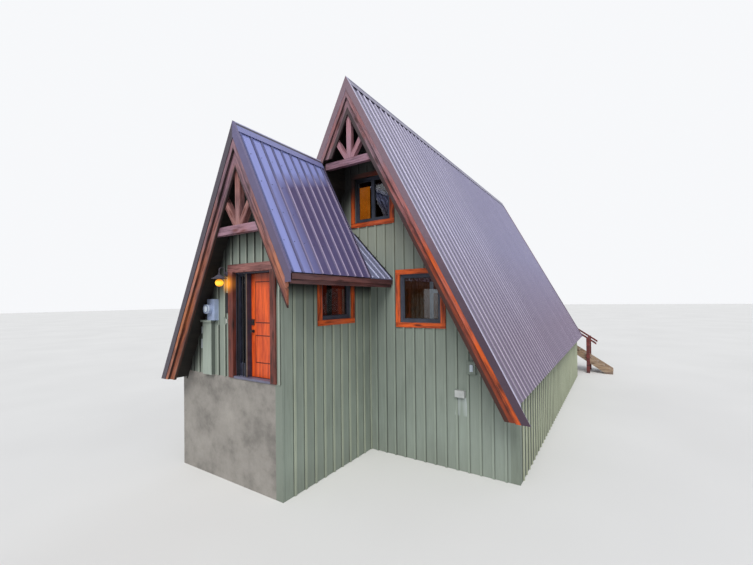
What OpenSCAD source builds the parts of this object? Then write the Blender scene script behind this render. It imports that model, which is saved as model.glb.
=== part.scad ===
// A steep A-frame cabin with a smaller A-frame entry wing in front of its left half.
// +X is to the right of someone facing the front gable, +Y runs back along the ridge, +Z is up.
// The origin is the middle of the foot of the main front wall.
// Z = 0 is the lowest ground; the ground at the front gable lies front_ground_h above it.

/* [Main roof] */
// Height of the main ridge, where the two roof planes meet
ridge_h = 8575; // [8200:25:9000]
// Pitch of the main roof in degrees
main_pitch = 61.5; // [60.5:0.5:62.5]
// Height of the lower edge of the main roof
eave_h = 1770; // [1600:10:1900]
// How far the main roof runs out past each gable wall
rake_over = 780; // [620:5:840]
// Thickness of the roof's rafters and boarding
deck_t = 188; // [140:2:200]
// Thickness of the flat of a roof sheet
sheet_t = 12; // [6:1:16]
// Height of a roof sheet's ribs
rib_h = 20; // [10:1:28]
// Width of a rib at its foot
rib_w = 64; // [40:2:90]
// Width of a rib at its top
rib_top_w = 26; // [14:2:36]
// Spacing of the ribs
rib_pitch = 228.6; // [180:0.2:320]
// How far the sheets run past the lower edge of the boarding
sheet_drip = 35; // [0:5:60]

/* [Main walls] */
// Length over the two main gable walls
house_len = 11150; // [9000:50:13000]
// Thickness of every outside wall
wall_t = 180; // [140:5:220]
// How far the faces of the low side walls stand in from the roof's edge
knee_set = 145; // [120:5:175]
// Height of the finished floor
floor_h = 2080; // [1980:10:2200]
// Height of the ground against the front gable
front_ground_h = 1150; // [900:10:1300]

/* [Gable boards] */
// Thickness of each board along a gable edge
board_t = 40; // [25:1:50]
// How deep the inner gable board reaches below the roof plane
inner_board_d = 375; // [300:5:420]
// Thickness of the folded metal trim
trim_t = 8; // [4:1:12]
// How deep the metal trim reaches down the gable board
trim_d = 110; // [70:5:130]
// Height of the front gable boards' feet over the ground at the front
board_foot = 270; // [150:10:330]
// Height at which the metal trim stops over the gable boards' feet
trim_foot = 0; // [0:10:300]
// Width of the trim's flange on the roof
trim_flange = 50; // [40:5:70]
// Width of each side of a ridge cap
cap_w = 160; // [100:5:220]
// Depth of the timbers of a gable truss, along Y
truss_t = 100; // [60:5:140]
// Height of a collar tie
tie_h = 150; // [100:5:200]
// Distance from the main ridge down to the underside of its collar tie
main_tie_drop = 1920; // [1875:5:2015]
// Distance from the wing's ridge down to the underside of its collar tie
wing_tie_drop = 1950; // [1870:5:2010]
// Width of a king post
post_w = 130; // [90:5:160]
// Width of a strut
strut_w = 110; // [70:5:130]
// Lean of a strut from upright, in degrees
strut_lean = 34; // [30:1:38]

/* [Entry wing] */
// How far the wing's ridge lies below the main ridge
wing_drop = 1805; // [1740:5:1870]
// How far the wing's ridge stands in from the main left roof at its own height
wing_tuck = 275; // [270:1:282]
// Pitch of the wing's roof in degrees
wing_pitch = 62.5; // [62:0.5:63]
// Distance from the main front wall's face to the wing's front face
wing_len = 2650; // [2400:10:2900]
// How far the wing's roof runs out past its front wall
wing_over = 425; // [330:5:560]
// Distance from the wing's ridge to its right eave
wing_reach = 1416; // [1380:2:1450]
// Distance from the wing's ridge to the face of its right wall
wing_side = 754; // [720:2:790]
// Distance from the main front wall back to where the wing's steep right roof stops
wing_stop = 850; // [825:5:950]
// How far below the floor the wing's left roof lands
wing_foot_drop = 130; // [60:10:230]
// Thickness of the wing's floor
wing_floor_t = 310; // [260:10:360]
// How far the main gable's boards stop above the wing's ridge
wing_clear = 110; // [80:5:150]
// How deep the wing's inner gable board reaches below its roof plane
wing_inner_d = 355; // [300:5:400]
// How far the wing's outer gable board stops short of its right eave
wing_board_short = 80; // [65:5:95]
// How far the wing's inner gable board stops short of its right eave
wing_inner_short = 95; // [80:5:110]
// How far the wing's metal trim runs past its right eave
trim_toe = 50; // [30:5:60]
// How far the foot of that trim hangs below the eave
trim_toe_drop = 168; // [150:2:190]
// Pitch in degrees of the saddle roof behind the wing's steep right roof
saddle_pitch = 46; // [44:0.5:48]
// Thickness of the saddle roof's boarding
saddle_t = 150; // [110:5:170]
// Thickness of the small gable that closes the steep right roof over the saddle
back_gable_t = 100; // [60:5:120]
// Thickness of each eave fascia board
fascia_t = 38; // [20:1:45]
// Height of the upper eave fascia board
fascia_h = 95; // [80:5:110]
// How far the lower fascia board drops below the upper one
fascia_step = 75; // [50:5:90]

/* [Windows] */
// Width of the upper window's opening
upper_win_w = 1040; // [900:10:1100]
// Height of the upper window's opening
upper_win_h = 1090; // [950:10:1120]
// Centre of the upper window right of the main ridge
upper_win_x = 135; // [80:5:150]
// Distance from the main ridge down to the upper window's sill
upper_win_drop = 3100; // [3055:5:3125]
// Width of the lower window's opening
lower_win_w = 1020; // [900:10:1080]
// Height of the lower window's opening
lower_win_h = 1090; // [950:10:1140]
// Distance from the main ridge down to the lower window's sill
lower_win_drop = 5515; // [5475:5:5675]
// Width of the side window's opening
side_win_w = 920; // [800:10:1000]
// Height of the side window's opening
side_win_h = 970; // [800:10:1020]
// Distance from the main front wall's face to the middle of the side window
side_win_y = 1200; // [1150:5:1260]
// Distance from the top of the wing's right wall down to the side window's sill
side_win_drop = 1708; // [1640:2:1790]
// Width of the trim boards round an opening
casing_w = 112; // [80:2:130]
// Thickness of the trim boards
casing_t = 28; // [15:1:35]
// Width of a window frame's bars
frame_w = 55; // [35:1:70]
// Depth of a window frame in its wall
frame_d = 90; // [60:5:120]
// How far a window frame sits back from its wall's face
frame_back = 25; // [10:1:40]
// Thickness of the glass
glass_t = 10; // [6:1:16]

/* [Entry door] */
// Distance from the wing's ridge to the left edge of the door opening
door_off = 648; // [630:2:666]
// Width of the door opening
door_open_w = 1133; // [1115:2:1151]
// Height of the door opening
door_open_h = 2087; // [2040:1:2120]
// Width of the frame's outer bars
jamb_w = 48; // [35:1:60]
// How far the door's frame sits back from the wall's face
door_set = 45; // [25:5:60]
// Thickness of the wood that lines the opening in front of the frame
lining_t = 20; // [12:1:28]
// Width of the posts of the door's trim
door_post_w = 130; // [110:5:135]
// Height of the board over the door
door_head_h = 140; // [110:5:160]
// How far that board runs past the posts
door_head_out = 10; // [0:1:20]
// Width of the sidelight between the frame's bars
sidelight_w = 253; // [215:2:285]
// Width of the sash round the sidelight's glass
sash_w = 40; // [25:1:50]
// Height of the closed panel under the sidelight's glass
side_foot_h = 250; // [180:10:320]
// Width of the post between sidelight and door
mullion_w = 70; // [50:1:80]
// Height of the sill under the door
sill_h = 30; // [20:1:40]
// Thickness of the door
door_t = 45; // [38:1:55]
// Gap on each side of the door
door_gap = 8; // [7:0.5:10]
// Gap over and under the door
door_gap_z = 7; // [6:0.5:10]
// Width of the door's stiles
stile_w = 112; // [80:2:125]
// Height of the door's top rail
top_rail_h = 150; // [110:5:170]
// Height of the rail between the door's panels
lock_rail_h = 227; // [150:1:240]
// Height of the door's lower panel
low_panel_h = 541; // [480:1:590]
// Height of the door's foot rail
foot_rail_h = 269; // [200:1:290]
// Depth of the door's sunk panels
panel_sink = 10; // [4:1:14]
// Height of the knob over the door's foot
knob_up = 880; // [820:5:960]
// Height of the deadbolt over the knob
bolt_up = 175; // [150:5:190]
// Width of the deadbolt's plate
bolt_w = 62; // [50:1:80]
// Height of the deadbolt's plate
bolt_h = 115; // [90:1:130]
// Length of a hinge
hinge_h = 100; // [80:5:130]

/* [Fittings] */
// Height of the lamp's wall plate over the floor
lamp_up = 2050; // [1960:10:2090]
// Distance of the lamp left of the wing's ridge
lamp_off = 845; // [840:5:870]
// Radius of the lamp's hood
lamp_r = 140; // [110:5:150]
// Radius of the lamp's globe
globe_r = 74; // [55:1:80]
// Radius of the bend of the lamp's arm
lamp_bend = 55; // [45:1:65]
// How far the lamp's arm rises before its bend
lamp_rise = 70; // [40:5:90]
// Width of the meter box
meter_w = 250; // [200:5:280]
// Height of the meter box
meter_h = 430; // [340:5:440]
// Depth of the meter box
meter_d = 90; // [70:5:120]
// Radius of the round meter
meter_r = 90; // [60:1:100]
// How far the round meter stands out of its box
meter_out = 100; // [60:5:130]
// Width of the boxed chase under the meter
chase_w = 310; // [290:5:330]
// Depth of the boxed chase
chase_d = 80; // [60:5:110]
// Left edge of the chase, left of the wing's ridge
chase_off = 1578; // [1560:2:1590]
// Height of the chase over the floor
chase_h = 1120; // [1070:5:1150]
// How far the ledge on top of the chase runs out past it
chase_ledge = 30; // [15:1:34]
// Thickness of that ledge
chase_ledge_t = 40; // [25:5:60]
// Distance from the chase's left edge to the meter box
meter_in = 188; // [184:1:200]
// Width of the number plate
plate_w = 70; // [50:1:75]
// Height of the number plate
plate_h = 400; // [300:10:440]
// Thickness of the number plate
plate_t = 15; // [8:1:20]
// Height of the number plate over the floor
plate_up = 1270; // [1200:10:1340]
// Distance from the number plate to the door's trim
plate_gap = 30; // [20:1:38]
// Width of the outlet box
outlet_w = 160; // [120:5:200]
// Height of the outlet box
outlet_h = 260; // [200:5:300]
// Depth of the outlet box
outlet_d = 45; // [30:1:70]
// Height of the outlet box over the ground at the front
outlet_up = 890; // [800:10:960]
// Distance from the outlet box to the underside of the roof
outlet_in = 489; // [400:1:600]
// Width of the vent hood
vent_w = 210; // [160:5:260]
// Height of the vent hood
vent_h = 140; // [110:5:170]
// Depth of the vent hood
vent_d = 80; // [60:1:100]
// Height of the vent hood over the ground at the front
vent_up = 390; // [300:10:440]
// Distance from the vent hood to the underside of the roof
vent_in = 1056; // [900:1:1200]

/* [Back deck] */
// Depth of the deck behind the house
deck_len = 2000; // [1980:10:2400]
// Width of the deck
deck_w = 4000; // [3400:50:4600]
// Thickness of the deck's frame and boards
deck_h = 200; // [150:10:260]
// Side of a deck post
deck_post = 140; // [100:5:160]
// Height of the handrail over the floor
rail_up = 900; // [850:10:1050]
// Width of the stair
stair_w = 900; // [700:20:920]
// Depth of a tread
tread_d = 260; // [240:5:280]
// Number of risers of the stair
risers = 12; // [11:1:13]
// Thickness of the stair's strings
string_t = 50; // [35:1:60]
// Depth of the stair's strings
string_d = 300; // [260:5:340]
// Thickness of a tread
tread_t = 45; // [30:1:55]
// Thickness of a rail
rail_t = 60; // [40:2:70]
// Height of a rail
rail_bar_h = 90; // [60:5:110]
// How far the stair's handrails run out from the deck
stair_rail_len = 2300; // [2200:20:2400]
// Distance between the two rails
rail_mid = 420; // [350:5:480]

/* [Clearances] */
// Room left where sloping pieces bear on each other and round a window frame
seat = 0.2; // [0.1:0.1:0.3]
// Room round a hinge's pin
pin_play = 0.05; // [0.03:0.01:0.1]

/* [Hidden] */

// Faces of the main walls and the rake planes, along Y
front_y = -wall_t / 2;
back_y = house_len - wall_t / 2;
rake_y = front_y - rake_over;
back_rake_y = back_y + rake_over;
// Depths below a roof plane, square to it
deck_d = sheet_t + deck_t;
under_d = deck_d + seat;
over_d = sheet_t + seat;
flange_d = -rib_h - seat;
top_d = flange_d - trim_t;
// Middle of a sheet's first rib, clear of the trim's flange
rib_first = trim_flange + rib_w / 2 - seat;
// Feet of the front gable boards
front_foot_z = front_ground_h + board_foot;
// Faces of the wing
wing_ridge_h = ridge_h - wing_drop;
wing_x = wing_tuck - wing_drop / tan(main_pitch);
wing_face_y = front_y - wing_len;
wing_in_y = wing_face_y + wall_t;
wing_rake_y = wing_face_y - wing_over;
wing_side_x = wing_x + wing_side;
wing_side_in = wing_side_x - wall_t;
wing_eave_x = wing_x + wing_reach;
wing_end_y = front_y - wing_stop;
wing_foot_h = floor_h - wing_foot_drop;
// Faces of the low side walls
knee_out = (ridge_h - eave_h) / tan(main_pitch) - knee_set;
knee_in = knee_out - wall_t;
// Door
door_x0 = wing_x - door_off;
door_x1 = door_x0 + door_open_w;
door_top = floor_h + door_open_h;
leaf_x1 = door_x1 - jamb_w - door_gap;
leaf_x0 = door_x0 + jamb_w + sidelight_w + mullion_w + door_gap;
leaf_w = leaf_x1 - leaf_x0;
leaf_z0 = floor_h + sill_h + door_gap_z;
leaf_z1 = door_top - jamb_w - door_gap_z;
leaf_y = wing_in_y - door_t;
glass_x0 = door_x0 + jamb_w + sash_w;
glass_z0 = floor_h + sill_h + side_foot_h;
glass_w = sidelight_w - 2 * sash_w;
glass_h = door_top - jamb_w - sash_w - glass_z0;
rail_z = floor_h + rail_up;

// Height of the main roof at x, at a depth d below its plane
function main_z(x, d) = ridge_h - abs(x) * tan(main_pitch) - d / cos(main_pitch);
// Half width of the main roof at a height z, at a depth d
function main_x(z, d) = (ridge_h - z - d / cos(main_pitch)) / tan(main_pitch);
// The same two for the wing, measured from the wing's ridge
function wing_z(x, d) = wing_ridge_h - abs(x) * tan(wing_pitch) - d / cos(wing_pitch);
function wing_half(z, d) = (wing_ridge_h - z - d / cos(wing_pitch)) / tan(wing_pitch);
// Height of the saddle roof at x, measured from the wing's ridge, at a depth d
saddle_foot_z = wing_z(wing_reach, 0);
function saddle_z(x, d) = saddle_foot_z + (wing_reach - x) * tan(saddle_pitch) - d / cos(saddle_pitch);
saddle_d = saddle_t + sheet_t;
// Plumb ends of the boarding behind the wing's right fascia
eave_in = wing_reach - 2 * fascia_t - 15;
// Where the saddle at a depth d meets the underside of the wing's right and left roofs
function saddle_right(d) = (wing_peak - saddle_z(0, d)) / (tan(wing_pitch) - tan(saddle_pitch));
function saddle_left(d) = (wing_peak - saddle_z(0, d)) / (tan(wing_pitch) + tan(saddle_pitch));
// Undersides of the two ridges, and the trusses' front faces
main_peak = main_z(0, under_d);
wing_peak = wing_z(0, under_d);
truss_y = rake_y + trim_t + 2 * board_t;
wing_truss_y = wing_rake_y + trim_t + 2 * board_t;
// Windows
upper_win_z = ridge_h - upper_win_drop;
lower_win_z = ridge_h - lower_win_drop;
lower_win_top = lower_win_z + lower_win_h + casing_w;
side_win_z = round(wing_z(wing_side, deck_d) - side_win_drop);
// The lower window sits midway between the wing's eave and the roof over its head
lower_win_x = round((wing_eave_x + main_x(lower_win_top, deck_d)) / 2);

// Cross-section in X and Z, drawn out from y0 to y1
module along_y(y0, y1) {
    translate([0, y1, 0]) rotate([90, 0, 0]) linear_extrude(y1 - y0) children();
}

// Pair of sloping bands under a roof, with level feet
module gable_band(h, p, d0, d1, z_right, z_left) {
    function half(z, d) = (h - z - d / cos(p)) / tan(p);
    polygon([[0, h - d0 / cos(p)], [half(z_right, d0), z_right], [half(z_right, d1), z_right],
        [0, h - d1 / cos(p)], [-half(z_left, d1), z_left], [-half(z_left, d0), z_left]]);
}

// The same for the wing, whose right band ends in a plumb cut at x_right
module wing_band(d0, d1, x_right, z_left) {
    polygon([[0, wing_z(0, d0)], [x_right, wing_z(x_right, d0)], [x_right, wing_z(x_right, d1)],
        [0, wing_z(0, d1)], [-wing_half(z_left, d1), z_left], [-wing_half(z_left, d0), z_left]]);
}

// Section of a ribbed sheet from y0 to y1
function rib_points(y) = [[y - rib_w / 2, 0], [y - rib_top_w / 2, rib_h],
    [y + rib_top_w / 2, rib_h], [y + rib_w / 2, 0]];
module sheet_section(y0, y1, pitch, first) {
    last = floor((y1 - rib_w - y0 - first) / pitch);
    polygon(concat([[y0, -sheet_t], [y0, 0]],
        [for (i = [0 : last], q = rib_points(y0 + first + i * pitch)) q],
        [[y1, 0], [y1, -sheet_t]]));
}

// Ribbed sheet running down a right-hand slope, from s0 to s1 below the ridge
module slope_sheet(p, y0, y1, s0, s1, pitch = rib_pitch, first = rib_first) {
    rotate([0, p, 0]) translate([s0, 0, 0]) rotate([90, 0, 90])
        linear_extrude(s1 - s0) sheet_section(y0, y1, pitch, first);
}

// Room left at a ridge between the tops of two ribbed sheets
ridge_gap = (sheet_t + 3) * tan(main_pitch);

module main_floor() {
    color("tan") along_y(front_y + wall_t, back_y - wall_t)
        polygon([[-main_x(eave_h, under_d), eave_h], [main_x(eave_h, under_d), eave_h],
            [main_x(floor_h, under_d), floor_h], [-main_x(floor_h, under_d), floor_h]]);
}

// Outline of a main gable wall, under the roof's boarding
module gable_wall_section() {
    polygon([[-knee_in, 0], [knee_in, 0], [knee_in, main_z(knee_in, under_d)], [0, main_peak],
        [-knee_in, main_z(knee_in, under_d)]]);
}

module opening(x, z, w, h) {
    translate([x - w / 2, z]) square([w, h]);
}

// Way from the entry wing into the main room
module passage() {
    translate([door_x0, floor_h]) square([door_open_w, door_open_h]);
}

module main_front_wall() {
    color("darkseagreen") along_y(front_y, front_y + wall_t) difference() {
        gable_wall_section();
        opening(upper_win_x, upper_win_z, upper_win_w, upper_win_h);
        opening(lower_win_x, lower_win_z, lower_win_w, lower_win_h);
        passage();
    }
}

module main_back_wall() {
    color("darkseagreen") along_y(back_y - wall_t, back_y) difference() {
        gable_wall_section();
        opening(0, upper_win_z, upper_win_w, upper_win_h);
        for (s = [-1, 1]) opening(s * lower_win_x, lower_win_z, lower_win_w, lower_win_h);
    }
}

module side_wall() {
    translate([knee_in, front_y, 0]) cube([wall_t, house_len, eave_h]);
}
module right_side_wall() {
    color("darkseagreen") side_wall();
}
module left_side_wall() {
    color("darkseagreen") mirror([1, 0, 0]) side_wall();
}

// Rafters and boarding of one main slope, cut level at the eave
module main_slope() {
    gap = trim_t + 2 * board_t;
    along_y(rake_y + gap, back_rake_y - gap)
        polygon([[0, main_z(0, over_d)], [main_x(eave_h, over_d), eave_h],
            [main_x(eave_h, deck_d), eave_h], [0, main_z(0, deck_d)]]);
}
module main_roof_right() {
    color("saddlebrown") main_slope();
}
module main_roof_left() {
    color("saddlebrown") mirror([1, 0, 0]) main_slope();
}

module main_sheet() {
    run = (ridge_h - eave_h) / sin(main_pitch) + sheet_drip;
    translate([0, 0, ridge_h])
        slope_sheet(main_pitch, rake_y + trim_t + seat, back_rake_y - trim_t - seat, ridge_gap, run);
}
module roof_sheet_right() {
    color([0.35, 0.29, 0.34]) main_sheet();
}
module roof_sheet_left() {
    color([0.35, 0.29, 0.34]) mirror([1, 0, 0]) main_sheet();
}

module main_ridge_cap() {
    low = ridge_h - cap_w * sin(main_pitch);
    color([0.30, 0.25, 0.30]) along_y(rake_y + trim_flange, back_rake_y - trim_flange)
        gable_band(ridge_h, main_pitch, top_d, flange_d, low, low);
}

// Folded metal along a main gable edge: a face on the boards and a flange on the ribs
module main_trim(foot_z) {
    along_y(rake_y, rake_y + trim_t) gable_band(ridge_h, main_pitch, top_d, trim_d, foot_z, foot_z);
    along_y(rake_y + trim_t, rake_y + trim_flange)
        gable_band(ridge_h, main_pitch, top_d, -seat, eave_h - sheet_drip, eave_h - sheet_drip);
}
module front_metal_trim() {
    color([0.42, 0.36, 0.42]) main_trim(front_foot_z + trim_foot);
}
module back_metal_trim() {
    color([0.42, 0.36, 0.42]) translate([0, house_len - wall_t, 0]) mirror([0, 1, 0])
        main_trim(eave_h);
}

// Two boards behind the metal trim; the inner one stops over the wing on the left
module main_boards(foot_z, inner_left_foot) {
    along_y(rake_y + trim_t, rake_y + trim_t + board_t)
        gable_band(ridge_h, main_pitch, over_d, deck_d, foot_z, foot_z);
    along_y(rake_y + trim_t + board_t, rake_y + trim_t + 2 * board_t)
        gable_band(ridge_h, main_pitch, over_d, inner_board_d, foot_z, inner_left_foot);
}
module front_gable_boards() {
    color("sienna") main_boards(front_foot_z, wing_ridge_h + wing_clear);
}
module back_gable_boards() {
    color("sienna") translate([0, house_len - wall_t, 0]) mirror([0, 1, 0])
        main_boards(eave_h, eave_h);
}

// King post and two struts standing on a tie, cut to the underside of a roof of peak h and pitch p
module truss_web(h, p, z0) {
    intersection() {
        union() {
            translate([-post_w / 2, z0]) square([post_w, h - z0]);
            for (s = [-1, 1]) translate([s * post_w / 2, z0]) rotate(-s * strut_lean)
                translate([-strut_w / 2, -strut_w]) square([strut_w, h - z0]);
        }
        polygon([[0, h], [(h - z0) / tan(p), z0], [-(h - z0) / tan(p), z0]]);
    }
}
module tie_section(h, p, z0, x_left) {
    right = (h - z0) / tan(p);
    right_top = (h - z0 - tie_h) / tan(p);
    polygon([[x_left, z0], [right, z0], [right_top, z0 + tie_h], [max(x_left, -right_top), z0 + tie_h]]);
}
main_tie_z = ridge_h - main_tie_drop;
wing_tie_z = wing_ridge_h - wing_tie_drop;

module front_collar_tie() {
    color("rosybrown") along_y(truss_y, truss_y + truss_t)
        tie_section(main_peak, main_pitch, main_tie_z, wing_x + seat);
}
module front_truss() {
    color("rosybrown") along_y(truss_y, truss_y + truss_t)
        truss_web(main_peak, main_pitch, main_tie_z + tie_h);
}
module back_truss() {
    y1 = back_rake_y - trim_t - 2 * board_t;
    color("rosybrown") along_y(y1 - truss_t, y1) {
        tie_section(main_peak, main_pitch, main_tie_z, -(main_peak - main_tie_z) / tan(main_pitch));
        truss_web(main_peak, main_pitch, main_tie_z + tie_h);
    }
}

// Window parts in a wall that faces -Y, with the middle of the sill at the origin
module window_bars(w, h, middle) {
    translate([0, frame_back, 0]) along_y(0, frame_d) difference() {
        translate([-w / 2 + seat, seat]) square([w - 2 * seat, h - 2 * seat]);
        translate([-w / 2 + frame_w, frame_w]) square([w - 2 * frame_w, h - 2 * frame_w]);
    }
    if (middle) translate([-frame_w * 0.8, frame_back + 10, frame_w])
        cube([frame_w * 1.6, frame_d - 20, h - 2 * frame_w]);
}
module window_pane(w, h, middle) {
    y0 = frame_back + frame_d / 2;
    if (middle) {
        half = w / 2 - frame_w - frame_w * 0.8;
        for (x = [-w / 2 + frame_w, frame_w * 0.8])
            translate([x, y0, frame_w]) cube([half, glass_t, h - 2 * frame_w]);
    } else {
        translate([-w / 2 + frame_w, y0, frame_w]) cube([w - 2 * frame_w, glass_t, h - 2 * frame_w]);
    }
}
module window_casing(w, h) {
    along_y(-casing_t, 0) difference() {
        translate([-w / 2 - casing_w, -casing_w]) square([w + 2 * casing_w, h + 2 * casing_w]);
        translate([-w / 2, 0]) square([w, h]);
    }
}
module at_upper() {
    translate([upper_win_x, front_y, upper_win_z]) children();
}
module at_lower() {
    translate([lower_win_x, front_y, lower_win_z]) children();
}
module at_side() {
    translate([wing_side_x, front_y - side_win_y, side_win_z]) rotate([0, 0, 90]) children();
}
module at_back(x, z) {
    translate([x, back_y, z]) rotate([0, 0, 180]) children();
}

module front_window_frames() {
    color("dimgray") {
        at_upper() window_bars(upper_win_w, upper_win_h, true);
        at_lower() window_bars(lower_win_w, lower_win_h, false);
    }
}
module front_window_trims() {
    color("chocolate") {
        at_upper() window_casing(upper_win_w, upper_win_h);
        at_lower() window_casing(lower_win_w, lower_win_h);
    }
}
module side_window_frame() {
    color("dimgray") at_side() window_bars(side_win_w, side_win_h, false);
}
module side_window_trim() {
    color("chocolate") at_side() window_casing(side_win_w, side_win_h);
}
module back_window_frames() {
    color("dimgray") {
        at_back(0, upper_win_z) window_bars(upper_win_w, upper_win_h, true);
        for (s = [-1, 1]) at_back(s * lower_win_x, lower_win_z)
            window_bars(lower_win_w, lower_win_h, false);
    }
}
module back_window_trims() {
    color("chocolate") {
        at_back(0, upper_win_z) window_casing(upper_win_w, upper_win_h);
        for (s = [-1, 1]) at_back(s * lower_win_x, lower_win_z) window_casing(lower_win_w, lower_win_h);
    }
}
module window_glass() {
    color([0.5, 0.6, 0.65, 0.4]) {
        at_upper() window_pane(upper_win_w, upper_win_h, true);
        at_lower() window_pane(lower_win_w, lower_win_h, false);
        at_side() window_pane(side_win_w, side_win_h, false);
        at_back(0, upper_win_z) window_pane(upper_win_w, upper_win_h, true);
        for (s = [-1, 1]) at_back(s * lower_win_x, lower_win_z)
            window_pane(lower_win_w, lower_win_h, false);
        translate([glass_x0, wing_in_y - wall_t / 3, glass_z0]) cube([glass_w, glass_t, glass_h]);
    }
}

// Wing
wing_foot_in = wing_half(wing_foot_h, under_d);
module wing_floor() {
    low = floor_h - wing_floor_t;
    color("tan") translate([wing_x, 0, 0]) along_y(wing_in_y, front_y)
        polygon([[-wing_foot_in, low], [-wing_foot_in, wing_foot_h],
            [-wing_half(floor_h, under_d), floor_h], [wing_side - wall_t, floor_h],
            [wing_side - wall_t, low]]);
}
module wing_base_wall() {
    color("gray") translate([wing_x, 0, 0]) along_y(wing_face_y, wing_in_y)
        polygon([[-wing_foot_in, 0], [wing_side - wall_t, 0], [wing_side - wall_t, floor_h],
            [-wing_half(floor_h, under_d), floor_h], [-wing_foot_in, wing_foot_h]]);
}
module wing_left_wall() {
    color("darkseagreen") along_y(wing_face_y, wing_in_y)
        polygon([[wing_x - wing_half(floor_h, under_d), floor_h], [door_x0, floor_h], [door_x0, door_top],
            [wing_x - wing_half(door_top, under_d), door_top]]);
}
module wing_right_wall() {
    color("darkseagreen") along_y(wing_face_y, wing_in_y)
        polygon([[door_x1, floor_h], [wing_side_in, floor_h], [wing_side_in, door_top],
            [door_x1, door_top]]);
}
module wing_gable_wall() {
    color("darkseagreen") translate([wing_x, 0, 0]) along_y(wing_face_y, wing_in_y)
        polygon([[-wing_half(door_top, under_d), door_top], [wing_side - wall_t, door_top],
            [wing_side - wall_t, wing_z(wing_side - wall_t, under_d)], [0, wing_peak]]);
}
// Right wall of the wing, lower where the saddle roof passes over it
module wing_side_wall() {
    inner = wing_side - wall_t;
    low_d = saddle_d + seat;
    color("darkseagreen") difference() {
        translate([wing_x, 0, 0]) union() {
            along_y(wing_face_y, wing_end_y - back_gable_t)
                polygon([[inner, 0], [wing_side, 0], [wing_side, wing_z(wing_side, under_d)],
                    [inner, wing_z(inner, under_d)]]);
            along_y(wing_end_y - back_gable_t, front_y)
                polygon([[inner, 0], [wing_side, 0], [wing_side, saddle_z(wing_side, low_d)],
                    [inner, saddle_z(inner, low_d)]]);
        }
        at_side() translate([-side_win_w / 2, -wall_t, 0]) cube([side_win_w, 3 * wall_t, side_win_h]);
    }
}
module wing_foot_wall() {
    color("gray") translate([wing_x - wing_foot_in - wall_t, wing_face_y, 0])
        cube([wall_t, wing_len, wing_foot_h]);
}
// Closes the end of the steep right roof over the saddle
module wing_back_gable() {
    right = saddle_right(saddle_d);
    left = saddle_left(saddle_d);
    color("darkseagreen") translate([wing_x, 0, 0]) along_y(wing_end_y - back_gable_t, wing_end_y)
        polygon([[0, wing_peak], [right, wing_z(right, under_d)], [-left, wing_z(left, under_d)]]);
}

// Rafters and boarding of the wing's right slope, cut plumb and level behind the fascia
module wing_roof_right() {
    low = saddle_foot_z - fascia_h - fascia_step;
    color("saddlebrown") translate([wing_x, 0, 0])
        along_y(wing_truss_y, wing_end_y)
            polygon([[0, wing_z(0, over_d)], [eave_in, wing_z(eave_in, over_d)], [eave_in, low],
                [wing_half(low, deck_d), low], [0, wing_z(0, deck_d)]]);
}
module wing_roof_left() {
    color("saddlebrown") translate([wing_x, 0, 0])
        along_y(wing_truss_y, front_y)
            polygon([[0, wing_z(0, over_d)], [0, wing_z(0, deck_d)],
                [-wing_half(wing_foot_h, deck_d), wing_foot_h],
                [-wing_half(wing_foot_h, over_d), wing_foot_h]]);
}
module wing_sheet_right() {
    run = wing_reach / cos(wing_pitch);
    color([0.35, 0.29, 0.34]) translate([wing_x, 0, wing_ridge_h])
        slope_sheet(wing_pitch, wing_rake_y + trim_t + seat, wing_end_y, ridge_gap, run);
}
module wing_sheet_left() {
    run = (wing_ridge_h - wing_foot_h) / sin(wing_pitch);
    color([0.35, 0.29, 0.34]) translate([wing_x, 0, wing_ridge_h]) mirror([1, 0, 0])
        slope_sheet(wing_pitch, wing_rake_y + trim_t + seat, front_y - seat, ridge_gap, run);
}
module wing_ridge_cap() {
    low = wing_ridge_h - cap_w * sin(wing_pitch);
    color([0.30, 0.25, 0.30]) translate([wing_x, 0, 0]) along_y(wing_rake_y + trim_flange, wing_end_y)
        gable_band(wing_ridge_h, wing_pitch, top_d, flange_d, low, low);
}
module wing_metal_trim() {
    color([0.42, 0.36, 0.42]) translate([wing_x, 0, 0]) {
        along_y(wing_rake_y, wing_rake_y + trim_t) wing_trim_face();
        along_y(wing_rake_y + trim_t, wing_rake_y + trim_flange)
            wing_band(top_d, -seat, wing_reach + 2 * trim_t, wing_foot_h);
    }
}
// Face of the trim, with a toe that hangs past the ends of the boards
module wing_trim_face() {
    toe_z = saddle_foot_z - trim_toe_drop;
    toe_in = wing_reach - wing_board_short;
    toe_out = wing_reach + trim_toe;
    polygon([[0, wing_z(0, top_d)], [toe_out, wing_z(toe_out, top_d)], [toe_out, toe_z], [toe_in, toe_z],
        [toe_in, max(toe_z, wing_z(toe_in, trim_d))], [0, wing_z(0, trim_d)],
        [-wing_half(wing_foot_h, trim_d), wing_foot_h], [-wing_half(wing_foot_h, top_d), wing_foot_h]]);
}
module wing_gable_boards() {
    color("sienna") translate([wing_x, 0, 0]) {
        along_y(wing_rake_y + trim_t, wing_rake_y + trim_t + board_t)
            wing_band(over_d, deck_d, wing_reach - wing_board_short, wing_foot_h);
        along_y(wing_rake_y + trim_t + board_t, wing_rake_y + trim_t + 2 * board_t)
            wing_band(over_d, wing_inner_d, wing_reach - wing_inner_short, wing_foot_h);
    }
}
module wing_collar_tie() {
    color("rosybrown") translate([wing_x, 0, 0]) along_y(wing_truss_y, wing_truss_y + truss_t)
        tie_section(wing_peak, wing_pitch, wing_tie_z, -(wing_peak - wing_tie_z) / tan(wing_pitch));
}
module wing_truss() {
    color("rosybrown") translate([wing_x, 0, 0]) along_y(wing_truss_y, wing_truss_y + truss_t)
        truss_web(wing_peak, wing_pitch, wing_tie_z + tie_h);
}

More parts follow.
